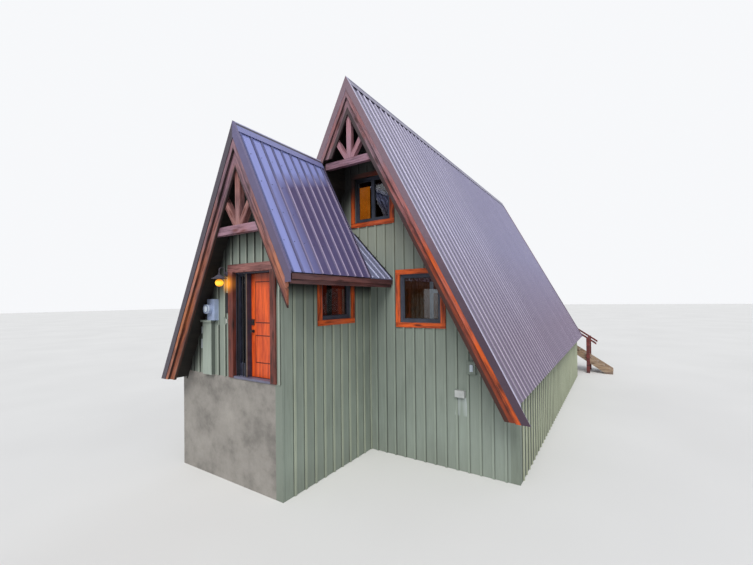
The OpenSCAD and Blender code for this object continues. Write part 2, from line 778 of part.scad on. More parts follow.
// Lower ribbed roof between the steep right roof and the main front wall
module saddle_roof() {
    left = saddle_left(0);
    left_low = saddle_left(saddle_d);
    run = (wing_reach + left * 0.8) / cos(saddle_pitch);
    color([0.35, 0.29, 0.34]) translate([wing_x, 0, 0]) {
        along_y(wing_end_y, front_y)
            polygon([[wing_reach, saddle_z(wing_reach, 0)], [wing_reach, saddle_z(wing_reach, sheet_t)],
                [eave_in, saddle_z(eave_in, sheet_t)], [eave_in, saddle_z(eave_in, saddle_d)],
                [-left_low, saddle_z(-left_low, saddle_d)], [-left, saddle_z(-left, 0)]]);
        translate([wing_reach, 0, saddle_foot_z]) rotate([0, saddle_pitch, 0])
            for (y = [wing_end_y + rib_w : rib_pitch : front_y - rib_w])
                translate([-run, y, 0]) rotate([90, 0, 90]) linear_extrude(run)
                    polygon([[-rib_w / 2, -1], [-rib_w / 2, 0], [-rib_top_w / 2, rib_h],
                        [rib_top_w / 2, rib_h], [rib_w / 2, 0], [rib_w / 2, -1]]);
    }
}

// Two fascia boards stepped under the wing's right eave
module wing_eave_boards() {
    top = saddle_z(wing_reach, sheet_t) - trim_t / 4;
    len = front_y - wing_truss_y;
    color("sienna") translate([wing_x + eave_in, wing_truss_y, 0]) {
        translate([0, 0, top - fascia_h - fascia_step]) cube([fascia_t, len, fascia_h + fascia_step]);
        translate([fascia_t, 0, top - fascia_h]) cube([fascia_t, len, fascia_h]);
    }
}

// Entry door: a frame with a sidelight, whose sash stands back behind the frame's bars
module door_frame() {
    color("dimgray") {
        along_y(wing_face_y + door_set, wing_in_y - wall_t / 2) door_bars(0, 0);
        along_y(wing_in_y - wall_t / 2, wing_in_y) door_bars(sash_w, side_foot_h);
    }
}
module door_bars(sash, foot) {
    clear_h = door_open_h - sill_h - jamb_w;
    difference() {
        translate([door_x0, floor_h]) square([door_open_w, door_open_h]);
        translate([door_x0 + jamb_w + sash, floor_h + sill_h + foot])
            square([sidelight_w - 2 * sash, clear_h - foot - sash]);
        translate([leaf_x0 - door_gap, floor_h + sill_h]) square([leaf_w + 2 * door_gap, clear_h]);
    }
}
// Trim boards on the wall and the wood that lines the opening in front of the frame
module door_trim() {
    out = door_post_w + door_head_out;
    color("chocolate") {
        along_y(wing_face_y - casing_t, wing_face_y) {
            for (x = [door_x0 - door_post_w, door_x1])
                translate([x, floor_h]) square([door_post_w, door_open_h]);
            translate([door_x0 - out, door_top]) square([door_open_w + 2 * out, door_head_h]);
        }
        along_y(wing_face_y - casing_t, wing_face_y + door_set) {
            for (x = [door_x0, door_x1 - lining_t])
                translate([x, floor_h]) square([lining_t, door_open_h]);
            translate([door_x0, door_top - lining_t]) square([door_open_w, lining_t]);
        }
    }
}
// Door with a tall sunk panel over a low one, both faces alike
module door_leaf() {
    panel_w = leaf_w - 2 * stile_w;
    high_z = foot_rail_h + low_panel_h + lock_rail_h;
    leaf_h = leaf_z1 - leaf_z0;
    color([0.92, 0.38, 0.12]) leaf_knuckles();
    color([0.92, 0.38, 0.12]) translate([leaf_x0, leaf_y, leaf_z0]) difference() {
        cube([leaf_w, door_t, leaf_h]);
        for (y = [-1, door_t - panel_sink]) {
            translate([stile_w, y, foot_rail_h]) cube([panel_w, panel_sink + 1, low_panel_h]);
            translate([stile_w, y, high_z]) cube([panel_w, panel_sink + 1, leaf_h - high_z - top_rail_h]);
        }
    }
}
// Three hinges on the inner face: fixed knuckles with a pin, and a knuckle on the leaf between them
knuckle_r = 8;
pin_r = 4;
knuckle_h = 0.3 * hinge_h;
plate_out = 1;
hinge_plate_t = 4;
hinge_plate_w = 34;
hinge_ends = 180;
hinge_x = leaf_x1 + door_gap / 2;
hinge_y = wing_in_y + knuckle_r + plate_out;
hinge_z = [leaf_z0 + hinge_ends, (leaf_z0 + leaf_z1) / 2 - hinge_h / 2, leaf_z1 - hinge_ends - hinge_h];
module door_hinges() {
    color([0.2, 0.2, 0.21]) for (z = hinge_z) {
        translate([hinge_x, hinge_y, z]) cylinder(h = hinge_h, r = pin_r, $fn = 32);
        for (up = [0, hinge_h - knuckle_h]) {
            translate([hinge_x, hinge_y, z + up]) cylinder(h = knuckle_h, r = knuckle_r, $fn = 32);
            translate([leaf_x1 + door_gap, wing_in_y, z + up])
                cube([1.5 * knuckle_r, hinge_plate_t, knuckle_h]);
        }
        translate([leaf_x1 + door_gap + knuckle_r, wing_in_y, z])
            cube([hinge_plate_w - knuckle_r / 2, hinge_plate_t, hinge_h]);
    }
}
module leaf_knuckles() {
    gap = 0.5;
    len = hinge_h - 2 * knuckle_h - 2 * gap;
    for (z = hinge_z) difference() {
        union() {
            translate([hinge_x, hinge_y, z + knuckle_h + gap]) cylinder(h = len, r = knuckle_r, $fn = 32);
            translate([leaf_x1 - hinge_plate_w, wing_in_y - plate_out, z + knuckle_h + gap])
                cube([hinge_plate_w, hinge_plate_t + plate_out, len]);
        }
        translate([hinge_x, hinge_y, z]) cylinder(h = hinge_h, r = pin_r + pin_play, $fn = 32);
    }
}
// Deadbolt with a tall plate and a knob under it on the door's left edge, the same inside
module door_handles() {
    x = leaf_x0 + stile_w * 0.55;
    rose_t = 14;
    color([0.08, 0.08, 0.08]) for (side = [0, 1]) {
        y0 = side ? leaf_y + door_t : leaf_y;
        out = side ? -90 : 90;
        translate([x, y0, leaf_z0 + knob_up]) rotate([out, 0, 0]) {
            cylinder(h = rose_t, r = 32, $fn = 40);
            cylinder(h = 3 * rose_t, r = 12, $fn = 32);
            translate([0, 0, 3 * rose_t]) cylinder(h = 1.5 * rose_t, r = 27, $fn = 40);
        }
        translate([x, y0, leaf_z0 + knob_up + bolt_up]) rotate([out, 0, 0]) {
            translate([-bolt_w / 2, -bolt_h / 2, 0]) cube([bolt_w, bolt_h, 1.5 * rose_t]);
            cylinder(h = 2.5 * rose_t, r = 20, $fn = 40);
        }
    }
}

// Wall lamp: a plate, a gooseneck arm and a bell hood over a glass globe
lamp_stem = 55;
lamp_out = lamp_stem + 2 * lamp_bend;
lamp_z = floor_h + lamp_up;
hood_h = 76;
hood_t = 8;
socket_drop = 106;
function bell(t) = hood_h / 2 * (1 + cos(180 * t));
module lamp() {
    arm_r = 8;
    color([0.12, 0.12, 0.13]) translate([wing_x - lamp_off, wing_face_y, lamp_z]) {
        rotate([90, 0, 0]) cylinder(h = 16, r = 50, $fn = 40);
        rotate([90, 0, 0]) cylinder(h = lamp_stem + arm_r, r = arm_r + 3, $fn = 24);
        for (out = [lamp_stem, lamp_out])
            translate([0, -out, 0]) cylinder(h = lamp_rise, r = arm_r, $fn = 24);
        translate([0, -lamp_stem, lamp_rise]) rotate([0, 0, -90]) rotate([90, 0, 0])
            translate([lamp_bend, 0, 0]) rotate_extrude(angle = 180, $fn = 48)
                translate([lamp_bend, 0]) circle(r = arm_r, $fn = 24);
        translate([0, -lamp_out, -20]) cylinder(h = 26, r = arm_r + 4, $fn = 24);
        translate([0, -lamp_out, -100]) rotate_extrude($fn = 48)
            polygon(concat([for (i = [0 : 10]) [lamp_r * i / 10, bell(i / 10)]],
                [for (i = [10 : -1 : 0]) [lamp_r * i / 10, bell(i / 10) + hood_t]]));
        translate([0, -lamp_out, -socket_drop]) cylinder(h = socket_drop - 20, r = 20, $fn = 24);
    }
}
module lamp_globe() {
    color("orange")
        translate([wing_x - lamp_off, wing_face_y - lamp_out, lamp_z - socket_drop - globe_r])
            sphere(r = globe_r, $fn = 32);
}

// Electricity meter on its boxed chase
meter_face_y = wing_face_y - meter_d;
chase_x = wing_x - chase_off;
module meter_box() {
    color("lightgray") translate([chase_x + meter_in, meter_face_y, floor_h + chase_h]) {
        cube([meter_w, meter_d, meter_h]);
        translate([0.43 * meter_w, 0, 0.54 * meter_h]) rotate([90, 0, 0])
            cylinder(h = meter_out, r = meter_r, $fn = 48);
    }
}
module meter_chase() {
    color("darkseagreen") translate([chase_x, wing_face_y - chase_d, floor_h])
        cube([chase_w, chase_d, chase_h]);
    color("darkseagreen") translate([chase_x - chase_ledge, wing_face_y - chase_d - chase_ledge, floor_h])
        translate([0, 0, chase_h - chase_ledge_t])
            cube([chase_w + 2 * chase_ledge, chase_d + chase_ledge, chase_ledge_t]);
}
module number_plate() {
    color([0.12, 0.12, 0.13])
        translate([door_x0 - door_post_w - plate_gap - plate_w, wing_face_y - plate_t, floor_h + plate_up])
            cube([plate_w, plate_t, plate_h]);
}
module outlet_box() {
    z = front_ground_h + outlet_up;
    color("gainsboro")
        translate([main_x(z + outlet_h, deck_d) - outlet_in - outlet_w, front_y - outlet_d, z])
            cube([outlet_w, outlet_d, outlet_h]);
}
module vent_hood() {
    z = front_ground_h + vent_up;
    color("darkgray") translate([main_x(z + vent_h, deck_d) - vent_in - vent_w, front_y - vent_d, z])
        cube([vent_w, vent_d, vent_h]);
}

// Deck behind the house, with a stair down to the right past the roof's edge
deck_x = deck_w / 2;
deck_end = back_y + deck_len;
stair_y = back_rake_y + 20 + deck_post;
rise = floor_h / risers;
stair_run = (risers - 1) * tread_d;
module back_deck() {
    color("peru") {
        translate([-deck_x, back_y, floor_h - deck_h]) cube([deck_w, deck_len, deck_h]);
        for (x = [-deck_x, deck_x - deck_post])
            translate([x, deck_end - deck_post, 0]) cube([deck_post, deck_post, floor_h - deck_h]);
    }
}
// Treads let into two sloping stringers
module back_stair() {
    slope = rise / tread_d;
    color("peru") translate([deck_x, stair_y, 0]) {
        for (y = [0, stair_w - string_t]) translate([0, y, 0]) along_y(0, string_t)
            polygon([[0, floor_h - 20], [stair_run + tread_d * 0.4, floor_h - 20 - slope * stair_run],
                [stair_run + tread_d * 0.4, 0], [stair_run - 180, 0], [0, floor_h - string_d]]);
        for (i = [1 : risers - 1])
            translate([(i - 1) * tread_d, string_t - 5, floor_h - i * rise - tread_t])
                cube([tread_d + 20, stair_w - 2 * string_t + 10, tread_t]);
    }
}
// Rail of a given height over a sloping or level line from (x0, z0) to (x1, z1)
module rail_bar(x0, z0, x1, z1, y, t, h) {
    along_y(y, y + t) polygon([[x0, z0], [x1, z1], [x1, z1 - h], [x0, z0 - h]]);
}
module back_railing() {
    slope = rise / tread_d;
    bar_h = rail_bar_h;
    color("brown") {
        // Guard along the deck's left, back and right edges
        for (x = [-deck_x, deck_x - deck_post]) {
            translate([x, deck_end - deck_post, floor_h]) cube([deck_post, deck_post, rail_up]);
            translate([x, back_y + 30, floor_h]) cube([deck_post, deck_post, rail_up]);
        }
        for (z = [rail_z - bar_h, rail_z - bar_h - rail_mid]) {
            translate([-deck_x + 40, back_y + 60, z]) cube([rail_t, deck_len - deck_post, bar_h]);
            translate([-deck_x + 60, deck_end - deck_post + 40, z])
                cube([deck_w - deck_post, rail_t, bar_h]);
            translate([deck_x - deck_post + 40, back_y + 60, z])
                cube([rail_t, stair_y - back_y - 60, bar_h]);
        }
        // Posts and sloping rails beside the stair
        for (y = [stair_y - deck_post, stair_y + stair_w]) {
            for (x = [deck_x + tread_d * 0.5, deck_x + stair_rail_len - 3 * deck_post])
                translate([x, y, 0]) cube([deck_post, deck_post, rail_z - 60 - slope * (x - deck_x)]);
            rail_bar(deck_x, rail_z, deck_x + stair_rail_len, rail_z - slope * stair_rail_len,
                y + 40, rail_t, bar_h);
        }
    }
}

main_floor();
main_front_wall();
main_back_wall();
right_side_wall();
left_side_wall();
main_roof_right();
main_roof_left();
roof_sheet_right();
roof_sheet_left();
main_ridge_cap();
front_metal_trim();
back_metal_trim();
front_gable_boards();
back_gable_boards();
front_collar_tie();
front_truss();
back_truss();
front_window_frames();
front_window_trims();
side_window_frame();
side_window_trim();
back_window_frames();
back_window_trims();
window_glass();
wing_floor();
wing_base_wall();
wing_left_wall();
wing_right_wall();
wing_gable_wall();
wing_side_wall();
wing_foot_wall();
wing_back_gable();
wing_roof_right();
wing_roof_left();
wing_sheet_right();
wing_sheet_left();
wing_ridge_cap();
wing_metal_trim();
wing_gable_boards();
wing_collar_tie();
wing_truss();
saddle_roof();
wing_eave_boards();
door_frame();
door_trim();
door_hinges();
door_leaf();
door_handles();
lamp();
lamp_globe();
meter_box();
meter_chase();
number_plate();
outlet_box();
vent_hood();
back_deck();
back_stair();
back_railing();
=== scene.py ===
"""Looks of the A-frame cabin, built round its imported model, in metres.

+X is to the right of someone facing the front gable, +Y runs back along the ridge and +Z is up.
"""

import logging
import math
from dataclasses import dataclass, field
from enum import Enum
from typing import Callable, Optional, Sequence

import bmesh
import bpy
from mathutils import Matrix, Vector


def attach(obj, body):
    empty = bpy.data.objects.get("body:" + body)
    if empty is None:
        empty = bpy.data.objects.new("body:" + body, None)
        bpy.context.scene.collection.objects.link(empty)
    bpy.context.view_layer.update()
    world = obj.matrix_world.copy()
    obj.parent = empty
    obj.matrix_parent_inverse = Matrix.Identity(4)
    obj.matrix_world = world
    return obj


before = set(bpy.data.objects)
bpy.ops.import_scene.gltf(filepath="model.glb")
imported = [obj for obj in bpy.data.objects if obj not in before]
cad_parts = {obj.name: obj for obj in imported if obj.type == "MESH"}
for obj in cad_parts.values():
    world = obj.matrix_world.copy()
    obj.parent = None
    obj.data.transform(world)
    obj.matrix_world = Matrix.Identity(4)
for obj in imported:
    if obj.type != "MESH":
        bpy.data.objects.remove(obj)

log = logging.getLogger("cabin")

Point = tuple[float, float, float]
Colour = tuple[float, float, float]
Span = tuple[float, float]
Socket = bpy.types.NodeSocket

CABIN = "cabin"
DOOR = "door"


def paint(red: int, green: int, blue: int) -> Colour:
    """Turn a colour mixed in eight-bit display values into the linear values a shader takes.

    Args:
        red: Red from 0 to 255.
        green: Green from 0 to 255.
        blue: Blue from 0 to 255.

    Returns:
        The colour as three linear values.
    """
    def linear(value: int) -> float:
        """Undo the display curve of one value."""
        part = value / 255.0
        return part / 12.92 if part <= 0.04045 else ((part + 0.055) / 1.055) ** 2.4
    return linear(red), linear(green), linear(blue)


def tinted(colour: Colour, factor: float) -> Colour:
    """Return a colour made darker, or brighter up to full."""
    return tuple(min(1.0, part * factor) for part in colour)


class Run(Enum):
    """Direction in which boards or sheets run."""

    ALONG_X = "x"
    ALONG_Y = "y"
    UPRIGHT = "z"


@dataclass(frozen=True)
class Slope:
    """A pair of roof planes that meet in a ridge along Y."""

    ridge_x: float
    ridge_z: float
    pitch: float
    under: float

    @property
    def tan(self) -> float:
        """Return the slope's rise over its run."""
        return math.tan(math.radians(self.pitch))

    @property
    def cos(self) -> float:
        """Return the cosine of the pitch."""
        return math.cos(math.radians(self.pitch))

    @property
    def sin(self) -> float:
        """Return the sine of the pitch."""
        return math.sin(math.radians(self.pitch))

    def height(self, x: float, depth: float = 0.0) -> float:
        """Return the height of the roof at x, at a depth square to its plane.

        Args:
            x: Place across the ridge.
            depth: Depth below the plane.

        Returns:
            The height over the lowest ground.
        """
        return self.ridge_z - abs(x - self.ridge_x) * self.tan - depth / self.cos

    def soffit(self, x: float) -> float:
        """Return the height of the boarding's underside at x."""
        return self.height(x, self.under)

    def place(self, side: int, down: float, y: float, out: float = 0.0) -> Vector:
        """Return a point on the roof.

        Args:
            side: 1 for the right slope, -1 for the left.
            down: Distance down the slope from the ridge.
            y: Place along the ridge.
            out: Height over the plane, square to it.

        Returns:
            The point in the shared frame.
        """
        return Vector((self.ridge_x + side * (down * self.cos + out * self.sin), y,
                       self.ridge_z - down * self.sin + out * self.cos))

    def turn(self, side: int) -> Matrix:
        """Return the turn whose X runs down the slope and whose Z stands square on it.

        Args:
            side: 1 for the right slope, -1 for the left.

        Returns:
            The turn.
        """
        down = Vector((side * self.cos, 0, -self.sin))
        out = Vector((side * self.sin, 0, self.cos))
        along = out.cross(down)
        return Matrix((down, along, out)).transposed().to_4x4()


MAIN = Slope(ridge_x=0.0, ridge_z=8.575, pitch=61.5, under=0.200)
WING = Slope(ridge_x=-0.705, ridge_z=6.770, pitch=62.5, under=0.200)
FRONT_Y = -0.090
BACK_Y = 11.060
RAKE_Y = -0.870
BACK_RAKE_Y = 11.840
KNEE_X = 3.550
EAVE_Z = 1.770
FLOOR_Z = 2.080
WING_FACE_Y = -2.740
WING_RAKE_Y = -3.165
WING_SIDE_X = 0.049
WING_END_Y = -0.940
WING_EAVE_X = 0.711
SADDLE_PITCH = 46.0
SADDLE_FOOT_Z = WING.height(WING_EAVE_X)
DOOR_X0, DOOR_X1 = -1.353, -0.220
DOOR_TOP = 4.167
CASING = 0.112
RIB_PITCH = 0.2286
RIB_START = 0.090
SHEET_WIDTH = 0.9144
BATTEN_SINK = 0.002
SADDLE_UNDER = 0.165

# A place that holds a batten, and the distance from one batten to the next.
FRONT_ROW = (-0.023, 0.254)
SIDE_ROW = (-0.106, 0.2616)
WING_ROW = (-0.464, 0.230)

# Room that the fittings take on their wall: from and to along it, and from and to in height.
FRONT_FITTINGS = {
    "vent": ((2.20, 2.48), (1.52, 1.70)),
    "outlet": ((2.51, 2.71), (2.02, 2.32)),
}
WING_FITTINGS = {
    "chase": ((-2.32, -1.94), (2.0, 3.21)),
    "meter": ((-2.11, -1.84), (3.1, 3.64)),
    "lamp": ((-1.605, -1.495), (4.07, 4.19)),
    "plate": ((-1.59, -1.505), (3.34, 3.76)),
    "bell": ((-1.60, -1.53), (3.12, 3.26)),
    "boxes": ((-2.40, -2.27), (2.6, 3.14)),
}


def saddle_height(x: float, depth: float = 0.0) -> float:
    """Return the height of the saddle roof at x, at a depth square to it."""
    pitch = math.radians(SADDLE_PITCH)
    return SADDLE_FOOT_Z + (WING_EAVE_X - x) * math.tan(pitch) - depth / math.cos(pitch)


def over_saddle(x: float) -> float:
    """Return where the battens over the saddle roof begin at x."""
    return saddle_height(x) + 0.06


def under_saddle(x: float) -> float:
    """Return where the battens under the saddle roof end at x."""
    return SADDLE_FOOT_Z - 0.16 if x > 0.6 else saddle_height(x, SADDLE_UNDER)


def wing_side_top(y: float) -> float:
    """Return where the battens on the wing's side end at y."""
    return WING.soffit(WING_SIDE_X) if y < WING_END_Y - 0.1 else saddle_height(WING_SIDE_X, SADDLE_UNDER)


@dataclass(frozen=True)
class WindowUnit:
    """One window, by the middle of its sill, the way it faces in degrees, and its size."""

    x: float
    y: float
    z: float
    facing: float
    width: float
    height: float
    slider: bool = False

    @property
    def place(self) -> Matrix:
        """Return the placement of its sill, whose Y runs into the house."""
        turn = Matrix.Rotation(math.radians(self.facing), 4, "Z")
        return Matrix.Translation((self.x, self.y, self.z)) @ turn

    @property
    def room(self) -> tuple[Span, Span]:
        """Return the room that it takes on its wall with its casing."""
        middle, half = self.y if self.facing == 90 else self.x, self.width / 2 + CASING
        return (middle - half, middle + half), (self.z - CASING, self.z + self.height + CASING)


UPPER = WindowUnit(0.135, FRONT_Y, 5.475, 0, 1.04, 1.09, slider=True)
LOWER = WindowUnit(1.413, FRONT_Y, 3.060, 0, 1.02, 1.09)
SIDE = WindowUnit(WING_SIDE_X, -1.29, 3.180, 90, 0.92, 0.97)
BACK_UPPER = WindowUnit(0.0, BACK_Y, 5.475, 180, 1.04, 1.09, slider=True)
BACK_RIGHT = WindowUnit(1.413, BACK_Y, 3.060, 180, 1.02, 1.09)
BACK_LEFT = WindowUnit(-1.413, BACK_Y, 3.060, 180, 1.02, 1.09)


class Recipe:
    """Builds the nodes of one material."""

    def __init__(self, name: str) -> None:
        """Start an empty material.

        Args:
            name: The material's name.
        """
        self.material = bpy.data.materials.new(name)
        self.material.use_nodes = True
        self.tree = self.material.node_tree
        self.tree.nodes.clear()
        out = self.tree.nodes.new("ShaderNodeOutputMaterial")
        self.shader = self.tree.nodes.new("ShaderNodeBsdfPrincipled")
        self.tree.links.new(self.shader.outputs[0], out.inputs["Surface"])
        self.place = self.tree.nodes.new("ShaderNodeTexCoord").outputs["Object"]

    def node(self, kind: str, inputs: Optional[dict] = None, **settings: object) -> bpy.types.Node:
        """Add a node.

        Args:
            kind: Blender's name of the node.
            inputs: Values or sockets for its inputs, by name or number.
            **settings: Its own settings.

        Returns:
            The node.
        """
        made = self.tree.nodes.new(kind)
        for key, value in settings.items():
            setattr(made, key, value)
        for key, value in (inputs or {}).items():
            self.feed(made.inputs[key], value)
        return made

    def feed(self, socket: Socket, value: object) -> None:
        """Set a socket to a value, or link another socket to it.

        Args:
            socket: The input.
            value: A number, a colour, a vector or a socket.
        """
        if isinstance(value, bpy.types.NodeSocket):
            self.tree.links.new(value, socket)
        elif isinstance(value, tuple) and socket.type == "RGBA" and len(value) == 3:
            socket.default_value = (*value, 1.0)
        else:
            socket.default_value = value

    def set(self, **values: object) -> None:
        """Set inputs of the surface shader.

        Args:
            **values: Values or sockets by name, with its spaces written as underscores.
        """
        for key, value in values.items():
            self.feed(self.shader.inputs[key.replace("_", " ")], value)

    def sums(self, kind: str, first: object, second: object = 0.0, clamp: bool = False) -> Socket:
        """Add a Math node.

        Args:
            kind: The operation.
            first: First value or socket.
            second: Second value or socket.
            clamp: Whether the result stays from 0 to 1.

        Returns:
            The result's socket.
        """
        return self.node("ShaderNodeMath", {0: first, 1: second}, operation=kind, use_clamp=clamp).outputs[0]

    def plus(self, first: object, second: object, clamp: bool = False) -> Socket:
        """Add two values, and keep the sum from 0 to 1 if it is clamped."""
        return self.sums("ADD", first, second, clamp)

    def minus(self, first: object, second: object) -> Socket:
        """Take the second value from the first."""
        return self.sums("SUBTRACT", first, second)

    def times(self, first: object, second: object) -> Socket:
        """Multiply two values."""
        return self.sums("MULTIPLY", first, second)

    def away(self, first: object, second: object) -> Socket:
        """Return how far apart two values are."""
        return self.sums("ABSOLUTE", self.minus(first, second))

    def swing(self, noise: Socket, amount: float) -> Socket:
        """Return the swing of noise about its middle, times an amount."""
        return self.times(self.minus(noise, 0.5), amount)

    def turned(self, first: Socket, second: Socket, degrees: float) -> tuple[Socket, Socket]:
        """Turn two parts of a place about the third.

        Args:
            first: The first part.
            second: The second part.
            degrees: The angle.

        Returns:
            Both parts after the turn.
        """
        c, s = math.cos(math.radians(degrees)), math.sin(math.radians(degrees))
        return (self.minus(self.times(first, c), self.times(second, s)),
                self.plus(self.times(first, s), self.times(second, c)))

    def axes(self) -> tuple[Socket, ...]:
        """Return the x, y and z of the surface."""
        return tuple(self.node("ShaderNodeSeparateXYZ", {0: self.place}).outputs)

    def facing(self) -> tuple[Socket, ...]:
        """Return the three parts of the direction the surface faces."""
        normal = self.node("ShaderNodeNewGeometry").outputs["Normal"]
        return tuple(self.node("ShaderNodeSeparateXYZ", {0: normal}).outputs)

    def measure(self, kind: str, point: Point) -> Socket:
        """Return a measure of the surface's place against a point or direction."""
        return self.node("ShaderNodeVectorMath", {0: self.place, 1: point}, operation=kind).outputs["Value"]

    def span(self, value: object, low: float, high: float) -> Socket:
        """Return how far a value has come from low to high, from 0 to 1."""
        return self.node("ShaderNodeMapRange", {0: value, 1: low, 2: high}).outputs[0]

    def band(self, value: object, low: float, high: float, soft: float) -> Socket:
        """Return 1 where a value lies between two bounds, with soft edges.

        Args:
            value: The value or socket.
            low: Lower bound.
            high: Upper bound.
            soft: Width of each edge.

        Returns:
            The mask's socket.
        """
        return self.times(self.span(value, low - soft / 2, low + soft / 2),
                          self.span(value, high + soft / 2, high - soft / 2))

    def repeat(self, value: object, first: float, pitch: float) -> Socket:
        """Return the distance from the nearest of many places at an even pitch.

        Args:
            value: The value or socket.
            first: One of the places.
            pitch: Distance from one to the next.

        Returns:
            The distance's socket, negative before the place.
        """
        turns = self.sums("DIVIDE", self.minus(value, first), pitch)
        return self.swing(self.sums("FRACT", self.plus(turns, 0.5)), pitch)

    def chance(self, kind: str, value: object, first: float, pitch: float) -> Socket:
        """Return a fixed chance number from 0 to 1 for each of many places at an even pitch.

        Args:
            kind: How the count of places is rounded.
            value: The value or socket.
            first: One of the places.
            pitch: Distance from one to the next.

        Returns:
            The number's socket.
        """
        count = self.sums(kind, self.sums("DIVIDE", self.minus(value, first), pitch))
        return self.node("ShaderNodeTexWhiteNoise", {"W": count}, noise_dimensions="1D").outputs[0]

    def vector(self, x: object, y: object, z: object) -> Socket:
        """Join three values to a vector."""
        return self.node("ShaderNodeCombineXYZ", {0: x, 1: y, 2: z}).outputs[0]

    def choose(self, share: object, first: Socket, second: Socket) -> Socket:
        """Return the first vector, or the second where the share is 1."""
        return self.node("ShaderNodeMix", {0: share, 4: first, 5: second}, data_type="VECTOR").outputs[1]

    def scaled(self, vector: Socket, scale: Point) -> Socket:
        """Stretch a vector."""
        return self.node("ShaderNodeMapping", {"Vector": vector, "Scale": scale}).outputs[0]

    def noise(self, vector: Socket, scale: float, detail: float = 4.0, rough: float = 0.55) -> Socket:
        """Add noise and return its value."""
        return self.node("ShaderNodeTexNoise", {"Vector": vector, "Scale": scale, "Detail": detail,
                                                "Roughness": rough}).outputs[0]

    def ramp(self, value: Socket, stops: Sequence[tuple[float, object]]) -> Socket:
        """Turn a value into a colour.

        Args:
            value: The value's socket.
            stops: Places from 0 to 1, each with a colour or a grey.

        Returns:
            The colour's socket.
        """
        made = self.node("ShaderNodeValToRGB", {0: value})
        band = made.color_ramp
        while len(band.elements) < len(stops):
            band.elements.new(0.5)
        for element, (where, what) in zip(band.elements, stops):
            element.position = where
            element.color = (*what, 1.0) if isinstance(what, tuple) else (what, what, what, 1.0)
        return made.outputs[0]

    def blend(self, noise: Socket, low: object, high: object) -> Socket:
        """Let noise run from one colour or grey to another."""
        return self.ramp(noise, [(0.3, low), (0.7, high)])

    def mix(self, share: object, first: object, second: object) -> Socket:
        """Mix two colours.

        Args:
            share: Share of the second colour.
            first: First colour or socket.
            second: Second colour or socket.

        Returns:
            The mixed colour's socket.
        """
        return self.node("ShaderNodeMix", {0: share, 6: first, 7: second}, data_type="RGBA").outputs[2]

    def bump(self, height: Socket, strength: float, distance: float) -> "Recipe":
        """Give the surface a fine relief.

        Args:
            height: The relief's socket.
            strength: Its strength from 0 to 1.
            distance: Its full height.

        Returns:
            This recipe.
        """
        made = self.node("ShaderNodeBump", {"Strength": strength, "Distance": distance,
                                            "Height": height})
        self.set(Normal=made.outputs[0])
        return self


@dataclass(frozen=True)
class PaintedShading:
    """Painted shading along one slanting direction: a dark tone paints shadow, a pale tone paints light."""

    along: Point
    start: float
    full: float
    amount: float = 0.9
    tone: Colour = paint(12, 12, 14)

    def lay(self, r: Recipe, colour: Socket) -> Socket:
        """Return a colour with the painted shading laid on it."""
        share = r.span(r.measure("DOT_PRODUCT", self.along), self.start, self.full)
        return r.mix(r.times(share, self.amount), colour, self.tone)


@dataclass(frozen=True)
class PaintedLampGlow:
    """Painted light of the wall lamp: a warm glow laid into what stands next to it."""

    place: Point
    reach: float = 0.26
    core: float = 0.06
    strength: float = 0.95

    def lay(self, r: Recipe) -> None:
        """Paint the lamp's light on the surface as a glow near the lamp."""
        near = r.sums("POWER", r.span(r.measure("DISTANCE", self.place), self.reach, self.core), 2.2)
        r.set(Emission_Color=(1.0, 0.36, 0.02), Emission_Strength=r.times(near, self.strength))


# Painted shadow under the front peak's overhang, and on its left towards the wing.
PEAK_PAINTED_SHADE = (PaintedShading((-0.45, 0.0, 1.0), 6.22, 6.58), PaintedShading((-1.0, 0.0, 0.35), 2.36, 2.80))
# Front wall: painted light towards the right and above 4.1 m, then the painted shadow of the peak.
FRONT_PAINTED_LIGHT_AND_SHADE = (PaintedShading((1.0, 0.0, 0.0), 1.0, 3.0, 0.22, paint(172, 184, 172)),
               PaintedShading((0.0, 0.0, 1.0), 4.1, 4.9, 0.30, paint(184, 184, 164)), *PEAK_PAINTED_SHADE)
# Painted shadow under the wing's collar tie and along its left soffit.
WING_PAINTED_SHADE = (PaintedShading((0.0, 0.0, 1.0), 4.62, 4.90, 0.88), PaintedShading((-1.921, 0.0, 1.0), 6.95, 7.60, 0.8))
# Painted shadow under the wing's eave.
EAVE_PAINTED_SHADE = (PaintedShading((0.0, 0.0, 1.0), 3.58, 3.86, 0.92),)


